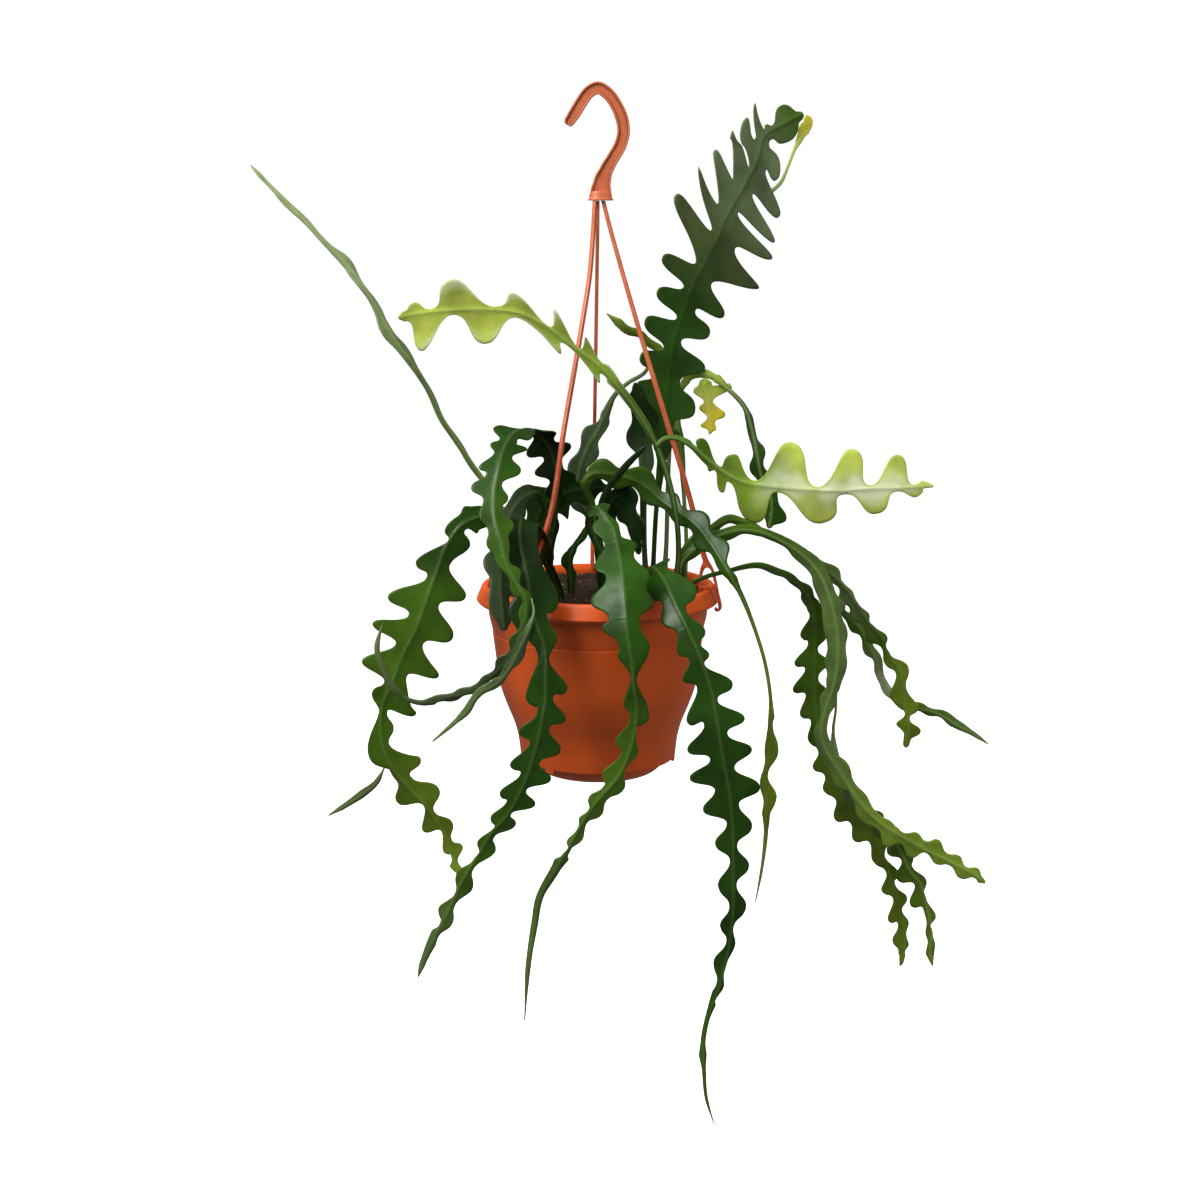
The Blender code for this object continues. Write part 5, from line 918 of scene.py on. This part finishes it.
class Surface:
    """A material and its nodes. Noise lies over the object's own coordinates, in metres."""

    def __init__(self, name):
        self.material = bpy.data.materials.new(name)
        self.material.use_nodes = True
        self.tree = self.material.node_tree
        self.shader = self.tree.nodes["Principled BSDF"]

    def feed(self, socket, value):
        """Gives a socket another node's output, a number or a colour."""
        if isinstance(value, bpy.types.NodeSocket):
            self.tree.links.new(value, socket)
        elif socket.type == "RGBA":
            socket.default_value = (*value, 1.0)
        else:
            socket.default_value = value

    def node(self, kind, **inputs):
        made = self.tree.nodes.new("ShaderNode" + kind)
        for label, value in inputs.items():
            self.feed(made.inputs[label.replace("_", " ")], value)
        return made

    def noise(self, scale, detail=3.0, roughness=0.5, stretch=(1, 1, 1)):
        """Noise from 0 to 1."""
        spot = self.node("TexCoord").outputs["Object"]
        mapping = self.node("Mapping", Vector=spot, Scale=stretch)
        return self.node("TexNoise", Vector=mapping.outputs["Vector"], Scale=scale, Detail=detail,
                         Roughness=roughness).outputs["Fac"]

    def spread(self, value, low, high, start=0.0, stop=1.0):
        """Maps a value from start..stop to low..high."""
        return self.node("MapRange", Value=value, From_Min=start, From_Max=stop, To_Min=low,
                         To_Max=high).outputs["Result"]

    def mottle(self, low, high, scale, *noise):
        """Noise with a good contrast, from low to high."""
        return self.spread(self.noise(scale, *noise), low, high, 0.3, 0.7)

    def times(self, a, b):
        made = self.node("Math")
        made.operation = "MULTIPLY"
        self.feed(made.inputs[0], a)
        self.feed(made.inputs[1], b)
        return made.outputs["Value"]

    def blend(self, share, a, b):
        """Mixes two colours. A Mix node's sockets for colours are found by their places."""
        made = self.node("Mix")
        made.data_type = "RGBA"
        for socket, value in zip((0, 6, 7), (share, a, b)):
            self.feed(made.inputs[socket], value)
        return made.outputs[2]

    def shade(self, colour, value):
        """Multiplies a colour's brightness by a value."""
        return self.node("HueSaturation", Color=colour, Value=value).outputs["Color"]

    def reading(self, name):
        """What the mesh's points are marked with."""
        made = self.node("Attribute")
        made.attribute_name = name
        return made.outputs["Fac"]

    def cover(self, colour, roughness, *reliefs):
        """Sets the shader's colour, its roughness and bumps, each a height, strength and depth."""
        self.feed(self.shader.inputs["Base Color"], colour)
        self.feed(self.shader.inputs["Roughness"], roughness)
        normal = None
        for height, strength, depth in reliefs:
            made = self.node("Bump", Height=height, Strength=strength, Distance=depth)
            if normal:
                self.feed(made.inputs["Normal"], normal)
            normal = made.outputs["Normal"]
        if normal:
            self.feed(self.shader.inputs["Normal"], normal)
        return self.material


def leaf_material(name, stem, rng):
    """Waxy skin: colour along the stem, mottling, pale young growth with painted highlight patches,
    a lighter midrib and edge, and a fine bump.
    """
    skin = Surface("skin_" + name)
    ramp = skin.node("ValToRGB", Fac=skin.reading("along"))
    stops = ramp.color_ramp.elements
    tones = stem["tones"]
    while len(stops) < len(tones):
        stops.new(0.5)
    for stop, (share, _) in zip(stops, tones):
        stop.position = share
    for stop, (_, tone) in zip(sorted(stops, key=lambda s: s.position), tones):
        tint = 1 + 0.10 * rng.uniform(-1, 1)
        stop.color = (*(c * tint for c in TONES[tone]), 1.0)
    colour = skin.shade(ramp.outputs["Color"], skin.mottle(0.70, 1.32, 32.0, 2.0))
    colour = skin.shade(colour, skin.mottle(0.95, 1.05, 240.0, 4.0, 0.6))
    dark = TONES[tones[len(tones) // 2][1]][1] < DARK_GREEN
    # Pale young growth in patches, which also paint the lobes' highlights.
    if "bloom_and_sheen" in stem:
        waxy = skin.spread(skin.reading("across"), 0.0, 0.75, *stem["bloom_and_sheen"])
        pale_and_sheen_patches = skin.spread(skin.noise(26.0, 2.0), 0.15, 1.0, 0.42, 0.56)
        young = skin.spread(skin.reading("along"), 0.0, 1.0, 0.38, 0.5)
        colour = skin.blend(skin.times(skin.times(waxy, pale_and_sheen_patches), young), colour, BLOOM_AND_SHEEN)
    strength = 0.5 if "rib" in stem else 0.10 if dark else 0.32
    colour = skin.blend(skin.spread(skin.reading("rib"), 0.0, strength), colour,
                        TONES[stem["rib"]] if "rib" in stem else RIB_GREEN)
    vein = skin.times(skin.reading("vein"), 0.03 if dark else 0.10)
    colour = skin.blend(vein, colour, VEIN_GREEN)
    edge = skin.spread(skin.reading("across"), 0.0, 0.25, 0.95, 1.0)
    colour = skin.blend(edge, colour, RIM_GREEN)
    skin.shader.inputs["Specular IOR Level"].default_value = 0.24
    return skin.cover(colour, skin.mottle(0.26, 0.42, 55.0), (skin.noise(420.0, 1.0), 0.05, 0.0004),
                      (skin.noise(70.0, 2.0), 0.30, 0.0016), (skin.reading("vein"), 0.25, 0.0004))


def pot_material(name):
    """Moulded terracotta-coloured plastic: faint flow marks, pale specks and a satin surface."""
    skin = Surface(name)
    base = skin.blend(skin.mottle(0.0, 1.0, 9.0), (0.550, 0.071, 0.003), (0.615, 0.088, 0.005))
    base = skin.shade(base, skin.mottle(0.94, 1.06, 40.0, 3.0, 0.6, (1, 1, 0.12)))
    specks = skin.spread(skin.noise(420.0, 2.0), 0.0, 0.35, 0.66, 0.78)
    base = skin.blend(specks, base, (0.50, 0.20, 0.10))
    return skin.cover(base, skin.mottle(0.38, 0.54, 60.0, 4.0, 0.6),
                      (skin.noise(400.0, 1.0), 0.06, 0.0004),
                      (skin.noise(20.0, 2.0, 0.5, (1, 1, 0.4)), 0.15, 0.004))


def hanger_material(name):
    """Orange plastic, darker towards the clips, with painted shade in the hook's channel and pale
    scuffs.
    """
    skin = Surface(name)
    spot = skin.node("TexCoord").outputs["Object"]
    height = skin.node("SeparateXYZ", Vector=spot).outputs["Z"]
    higher, highest = (skin.spread(height, 0.0, 1.0, (low - RIM_DROP) * CM, (high - RIM_DROP) * CM)
                       for low, high in ((4.0, 19.0), (24.0, 31.0)))
    base = skin.blend(higher, (0.450, 0.066, 0.016), (0.510, 0.118, 0.044))
    base = skin.blend(highest, base, (0.500, 0.125, 0.046))
    base = skin.shade(base, skin.mottle(0.92, 1.10, 60.0))
    scuffs = skin.spread(skin.noise(120.0), 0.0, 0.10, 0.55, 0.75)
    base = skin.blend(scuffs, base, (0.85, 0.42, 0.28))
    # Painted shade along the inner corners of the hook's channel.
    groove_shade = skin.spread(skin.reading("groove_shade"), 0.0, 0.85)
    base = skin.blend(groove_shade, base, (0.160, 0.022, 0.008))
    return skin.cover(base, skin.mottle(0.32, 0.46, 90.0), (skin.noise(300.0, 1.0), 0.08, 0.0003))


def soil_material():
    """Dark potting mix with lighter bark and fibre, told apart by each crumb's own tint."""
    skin = Surface("potting_mix")
    peat, bark = (skin.spread(skin.noise(*grain), 0.0, 1.0, 0.35, 0.65)
                  for grain in ((260.0, 4.0, 0.7), (500.0,)))
    base = skin.blend(peat, (0.008, 0.004, 0.002), (0.040, 0.018, 0.008))
    crumbs = skin.blend(bark, (0.10, 0.045, 0.018), (0.36, 0.22, 0.11))
    base = skin.blend(skin.reading("crumb"), base, crumbs)
    return skin.cover(base, skin.spread(skin.noise(300.0, 2.0), 0.75, 0.98),
                      (skin.noise(700.0, 5.0, 0.75), 0.8, 0.002))


# ---------------------------------------------------------------- pot, dish and soil

def rounded(profile):
    """The profile with its corners turned into arcs. A point is a radius, height and fillet."""
    out = []
    for i, (r, z, fillet) in enumerate(profile):
        if i in (0, len(profile) - 1) or not fillet:
            out.append((r, z))
            continue
        here = np.array([r, z])
        ways = [np.array(profile[k][:2]) - here for k in (i - 1, i + 1)]
        lengths = [np.linalg.norm(way) for way in ways]
        back = min(fillet, min(lengths) * 0.48)
        a, b = (here + way / length * back for way, length in zip(ways, lengths))
        for t in np.linspace(0, 1, 7):
            spot = (1 - t)**2 * a + 2 * t * (1 - t) * here + t**2 * b
            out.append((float(spot[0]), float(spot[1])))
    return out


def turned(name, profile, sides):
    """A closed form turned about Z. Its profile, in millimetres, starts and ends on the axis."""
    line = rounded(profile)
    points = [(r * x, r * y, z) for r, z in line[1:-1] for x, y in circle(sides)]
    last = len(points)
    points += [(0.0, 0.0, line[0][1]), (0.0, 0.0, line[-1][1])]
    faces = [f for low in range(0, last - sides, sides) for f in band(low, low + sides, sides)]
    for k in range(sides):
        after = (k + 1) % sides
        faces += [(last, after, k), (last + 1, last - sides + k, last - sides + after)]
    piece = add_mesh(name, [(x * MM, y * MM, z * MM - RIM_DROP * CM) for x, y, z in points], faces)
    face_outwards(piece)
    return piece


def soft_box(name, corners, radius):
    """A box between two corners, its edges rounded, in metres."""
    low, high = Vector(corners[0]), Vector(corners[1])
    shell = bmesh.new()
    bmesh.ops.create_cube(shell, size=1.0)
    for vertex in shell.verts:
        vertex.co = (low + high) / 2 + vertex.co * (high - low)
    bmesh.ops.bevel(shell, geom=shell.edges[:], offset=radius, segments=3, profile=0.5,
                    affect="EDGES")
    mesh = bpy.data.meshes.new(name)
    shell.to_mesh(mesh)
    shell.free()
    return add_object(name, mesh)


def build_pot():
    wall = POT_WALL
    outer = [(66.5 - wall, -137.0, 0.4), (66.2 - wall, -152.0, 0.5), (67.6, -152.0, 0.9),
             (69.4, -135.0, 6), (72.6, -122.0, 6), (79.6, -105.0, 8), (85.6, -88.0, 9),
             (90.2, -50.0, 6), (91.4, -40.9, 0.4), (90.5, -40.3, 0.3), (91.2, -39.2, 0.6),
             (94.4, -26.0, 3), (94.8, -17.0, 1.6), (103.2, -14.4, 0.8), (105.0, -12.5, 0.9),
             (100.4, -1.4, 1.2), (99.0, 0.0, 0.8)]
    inner = [(95.4, 0.0, 0.8), (93.1, -4.5, 2), (92.3, -26.0, 4), (83.3, -88.0, 8),
             (77.3, -105.0, 6), (70.3, -122.0, 5), (66.9, -137.0 + wall, 2)]
    profile = [(0, -137.0, 0)] + outer + inner + [(0, -137.0 + wall, 0)]
    pot = turned("hanging_pot", profile, 144)
    for azimuth in LUG_ANGLES:
        lug = soft_box("tab", ((0.0650, -0.0045, -0.1555), (0.0674, 0.0045, -0.1500)), 0.0006)
        lug.data.transform(Matrix.Translation((0, 0, -RIM_DROP * CM))
                           @ Matrix.Rotation(radians(azimuth), 4, "Z"))
        add_to(pot, lug)
    pot.data.materials.append(pot_material("terracotta_plastic"))
    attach(pot, "root")
    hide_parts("pot")


def build_dish():
    wall = DISH_WALL
    outer = [(40.0, -165.0, 0), (46.0, -165.0, 2), (50.5, -164.0, 3), (55.5, -160.0, 4),
             (58.8, -154.5, 4), (60.2, -149.0, 3), (61.0, -137.3, 0.7)]
    inner = [(61.0 - wall, -137.3, 0.7), (60.2 - wall, -149.0, 3), (58.8 - wall, -154.0, 3),
             (54.0, -159.0, 3), (49.5, -162.2, 2), (44.0, -163.0, 1)]
    dish = turned("dish", [(0, -165.0, 0)] + outer + inner + [(0, -163.0, 0)], 120)
    dish.data.materials.append(pot_material("dish_plastic"))
    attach(dish, "root")
    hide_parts("drip_dish")


def crumb_shape(rng, height):
    """One piece of bark or fibre lying on the soil: its tint, points and faces."""
    r, turn = 8.9 * sqrt(rng.uniform(0.02, 1)), rng.uniform(0, 2 * pi)
    x, y = r * cos(turn), r * sin(turn)
    long = rng.uniform(0.10, 0.42)
    thin = long * rng.uniform(0.25, 0.7)
    spin = (Matrix.Rotation(rng.uniform(0, 2 * pi), 3, "Z")
            @ Matrix.Rotation(rng.uniform(-0.5, 0.5), 3, "X"))
    tint = rng.uniform(0.05, 1.0)**1.6
    shell = bmesh.new()
    bmesh.ops.create_icosphere(shell, subdivisions=1, radius=0.5)
    points = []
    for vertex in shell.verts:
        spot = vertex.co * (1 + 0.35 * rng.uniform(-1, 1))
        spot = spin @ Vector((spot.x * long, spot.y * thin, spot.z * thin * 0.6))
        points.append((x + spot.x, y + spot.y, height(x, y) + 0.05 + spot.z))
    faces = [[v.index for v in f.verts] for f in shell.faces]
    shell.free()
    return tint, points, faces


def build_soil(rng):
    """A heaped, crumbly top on a plain body inside the pot, with bark and fibre lying on it."""
    sides = SOIL_SIDES
    waves = [(rng.uniform(0.5, 3.2), rng.uniform(0, 2 * pi), rng.uniform(0, 2 * pi))
             for _ in range(26)]

    def height(x, y):
        rough = sum(sin(f * (x * cos(a) + y * sin(a)) * 2.2 + p) / (0.8 + f) for f, a, p in waves)
        fall = sqrt(max(0.0, 1 - (x * x + y * y) / SOIL_R**2))
        return -0.80 + 0.17 * fall + 0.040 * rough

    points = []
    for ring in range(1, SOIL_RINGS + 1):
        jitter = 0.045 if ring < SOIL_RINGS else 0.0
        r = SOIL_R * ring / SOIL_RINGS
        points += [(r * x, r * y, height(r * x, r * y) + rng.uniform(-jitter, jitter))
                   for x, y in circle(sides)]
    points += [(r * x, r * y, z) for r, z in SOIL_FOOT for x, y in circle(sides)]
    last = len(points)
    faces = [f for low in range(0, last - sides, sides) for f in band(low, low + sides, sides)]
    faces += [(last, k, (k + 1) % sides) for k in range(sides)]
    faces.append(tuple(range(last - sides, last)))
    points.append((0.0, 0.0, height(0, 0)))
    tints = [0.0] * len(points)
    for _ in range(CRUMBS):
        tint, spots, sheets = crumb_shape(rng, height)
        faces += [tuple(len(points) + k for k in sheet) for sheet in sheets]
        points += spots
        tints += [tint] * len(spots)
    piece = add_mesh("potting_soil", [place(*p) for p in points], faces)
    face_outwards(piece)
    mark(piece, "crumb", tints)
    piece.data.materials.append(soil_material())
    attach(piece, "root")
    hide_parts("soil")


# ---------------------------------------------------------------- hanger

def hook_section(half):
    """An I section: a shallow channel between raised, rounded borders, as width, depth and how much
    of the painted shade in the channel's corners lies there."""
    depth, web, border = HOOK_HALF_DEPTH, 0.17, 0.17
    inside = half - border
    quarter = [(half, 0.0, 0), (half, depth - 0.07, 0), (half - 0.02, depth - 0.02, 0),
               (half - 0.07, depth, 0), (inside + 0.03, depth, 0), (inside, depth - 0.02, 0.6),
               (inside - 0.02, depth - 0.05, 1), (inside - 0.05, web + 0.01, 1),
               (inside - 0.09, web, 0.2), (0.0, web, 0)]
    top = quarter + [(-w, d, g) for w, d, g in quarter[-2::-1]]
    return top + [(w, -d, g) for w, d, g in top[-2:0:-1]]


def build_hook():
    places, _, widths = smooth_line(HOOK_LINE, OUTLINE_STEP, 2)
    ahead = heading(places[:2], 0)
    turns = np.linspace(0.1, pi / 2, 7)[:-1]
    caps = [places[0] - ahead * 0.45 * cos(t) for t in turns]
    cap_widths = [HOOK_END_WIDTH + (widths[0, 0] - HOOK_END_WIDTH) * sin(t) for t in turns]
    places = np.concatenate([caps, places])
    widths = np.concatenate([cap_widths, widths[:, 0]])
    points, groove_shades = [], []
    for i, (x, z) in enumerate(places):
        along = heading(places, i)
        shrink = min(1.0, 0.55 + 0.45 * min(i, 6) / 6)
        for w, d, groove_shade in hook_section(max(widths[i] / 2, 0.24)):
            points.append(place(x + along[1] * w, d * shrink, z - along[0] * w))
            groove_shades.append(groove_shade)
    hook = add_mesh("hanger_hook", points, bands(len(places), len(points) // len(places)))
    # Marks how much painted shade each point of the channel gets.
    mark(hook, "groove_shade", groove_shades)
    face_outwards(hook)
    add_to(hook, collar())
    hook.data.materials.append(hanger_material("hook_plastic"))
    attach(hook, "root")
    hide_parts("hook")


def collar():
    """The hook's oval foot with a small lip."""
    sides = 48
    wide, deep = COLLAR_HALF
    points = [place(COLLAR_X + wide * scale * x, deep * scale * y, z)
              for z, scale in COLLAR_LEVELS for x, y in circle(sides)]
    piece = add_mesh("collar", points, bands(len(COLLAR_LEVELS), sides))
    face_outwards(piece)
    return piece


def strand_outline(line):
    """Outline of a strand and its forked clip, as distance from the axis and height."""
    route = [(STRAND_TOP_R, STRAND_TOP_Z)] + line + [(9.34, 3.2), (9.72, FORK_Z)]
    places, _, _ = smooth_line(route, 0.5, 2)
    inner, outer = [], []
    for i, (r, z) in enumerate(places):
        along = heading(places, i)
        share = (STRAND_TOP_Z - z) / (STRAND_TOP_Z - FORK_Z)
        half = (STRAND_WIDTHS[0] + (STRAND_WIDTHS[1] - STRAND_WIDTHS[0]) * share) / 2
        if i == 0:
            along = (0.0, -1.0)
        if z > CLIP_Z:
            inner.append((r + along[1] * half, z - along[0] * half))
            outer.append((r - along[1] * half, z + along[0] * half))
    inner_leg = [(9.36, 2.45), (9.20, 1.95), (9.08, 1.45), (9.02, 0.85), (9.00, 0.10),
                 (9.02, -0.45)]
    inner_back = [(9.22, -0.45), (9.27, -0.05), (9.42, 0.04)]
    outer_leg = [(10.14, 0.12), (10.34, 0.00), (10.54, -0.45), (10.72, -1.20), (10.75, -1.48),
                 (10.66, -1.62), (10.58, -1.60), (10.56, -1.46)]
    outer_back = [(10.42, -1.52), (10.44, -1.72), (10.62, -1.84), (10.86, -1.78), (11.00, -1.50),
                  (10.98, -1.15), (10.78, -0.35), (10.62, 0.40), (10.50, 0.95), (10.36, 1.45),
                  (10.15, 1.95), (9.84, 2.45)]
    return (inner + fine([inner[-1]] + inner_leg)[1:] + fine(inner_back) + [(9.95, 0.04)]
            + fine(outer_leg) + fine(outer_back + [outer[-1]])[:-1] + outer[::-1])


def build_strand(name, azimuth, line):
    """A flat strand, cut out with its eye in the upright plane that the azimuth gives."""
    rim = strand_outline(line)
    eye = fine(CLIP_EYE + CLIP_EYE[:1])[:-1]
    turn = radians(azimuth)
    points = [place(r * cos(turn) - side * sin(turn), r * sin(turn) + side * cos(turn), z)
              for side in (-STRAND_THICK / 2, STRAND_THICK / 2) for r, z in rim + eye]
    count = len(rim) + len(eye)
    faces = []
    loops = [[Vector((r, z, 0)) for r, z in loop] for loop in (rim, eye)]
    for a, b, c in tessellate_polygon(loops):
        faces += [(a, b, c), (a + count, c + count, b + count)]
    faces += band(0, count, len(rim)) + [tuple(len(rim) + k for k in face)
                                         for face in band(0, count, len(eye))]
    strand = add_mesh("hanger_" + name, points, faces)
    face_outwards(strand, None)
    edges = strand.modifiers.new("soft_edges", "BEVEL")
    edges.width = 0.0006
    edges.segments = 2
    edges.limit_method = "ANGLE"
    edges.angle_limit = radians(50)
    strand.data.materials.append(hanger_material(name + "_plastic"))
    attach(strand, "root")
    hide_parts(name)


# ---------------------------------------------------------------- studio

def glow(surface, strength):
    surface.feed(surface.shader.inputs["Emission Color"], (1.0, 1.0, 1.0))
    surface.feed(surface.shader.inputs["Emission Strength"], strength)


def floor_and_backdrop():
    """A pale floor under the plant and a plain pale dome around it. Neither lights the plant."""
    ring = [(FLOOR_R * x, FLOOR_R * y, FLOOR_HEIGHT) for x, y in circle(96)]
    mesh = bpy.data.meshes.new("floor")
    mesh.from_pydata(ring, [], [tuple(range(len(ring)))])
    floor = add_object("floor", mesh)
    pale = Surface("pale_floor")
    tone = pale.blend(pale.mottle(0.0, 1.0, 3.0), (0.88, 0.88, 0.88), (0.92, 0.92, 0.92))
    glow(pale, FLOOR_GLOW)
    mesh.materials.append(pale.cover(tone, 0.9))

    shell = bmesh.new()
    bmesh.ops.create_uvsphere(shell, u_segments=48, v_segments=24, radius=DOME_R)
    mesh = bpy.data.meshes.new("dome")
    shell.to_mesh(mesh)
    shell.free()
    dome = add_object("dome", mesh)
    pale = Surface("pale_dome")
    glow(pale, 1.0)
    mesh.materials.append(pale.cover((0.0, 0.0, 0.0), 0.5))
    for thing in (floor, dome):
        thing.visible_diffuse = False
        thing.visible_glossy = False
        thing.visible_transmission = False
        thing.visible_shadow = False


def sky():
    world = bpy.data.worlds.new("studio")
    bpy.context.scene.world = world
    world.use_nodes = True
    background = world.node_tree.nodes["Background"]
    background.inputs["Color"].default_value = (1.0, 1.0, 1.0, 1.0)
    background.inputs["Strength"].default_value = WORLD_LIGHT


def aimed(name, data, spot, target):
    """Adds a lamp or a camera that looks from a spot at a target."""
    thing = add_object(name, data)
    thing.location = spot
    thing.rotation_euler = (Vector(target) - Vector(spot)).to_track_quat("-Z", "Y").to_euler()
    return thing


def softbox(name, spot, size, power, glossy=True):
    lamp = bpy.data.lights.new(name, "AREA")
    lamp.shape = "RECTANGLE"
    lamp.size, lamp.size_y = size
    lamp.energy = power
    thing = aimed(name, lamp, spot, LIGHTS_AIM)
    thing.visible_camera = False
    thing.visible_glossy = glossy


def lights():
    sky()
    softbox("overhead", (-0.4, -0.3, 1.5), (1.8, 1.8), OVERHEAD, False)
    softbox("key", (-1.4, -1.2, 1.0), (1.1, 1.1), KEY_POWER)
    softbox("fill", (1.9, -1.0, 0.3), (1.5, 1.8), FILL_POWER, False)


def camera():
    """A long lens a little above the rim, shifted so that the plant sits in the picture as seen."""
    lens = bpy.data.cameras.new("camera")
    lens.sensor_width = SENSOR
    lens.lens = LENS
    lens.shift_x = 2 / FRAME_SIZE
    lens.shift_y = -17 / FRAME_SIZE
    rim = (0.0, 0.0, -RIM_DROP * CM)
    bpy.context.scene.camera = aimed("camera", lens, CAMERA_SPOT, rim)
    bpy.context.scene.view_settings.view_transform = "Standard"


def main():
    camera()
    build_pot()
    build_dish()
    build_soil(np.random.default_rng(7))
    build_hook()
    for name, (azimuth, line) in STRANDS.items():
        build_strand(name, azimuth, line)
    for name, stem in STEMS.items():
        build_stem(name, stem, np.random.default_rng(sum(ord(c) for c in name)))
    floor_and_backdrop()
    lights()


main()
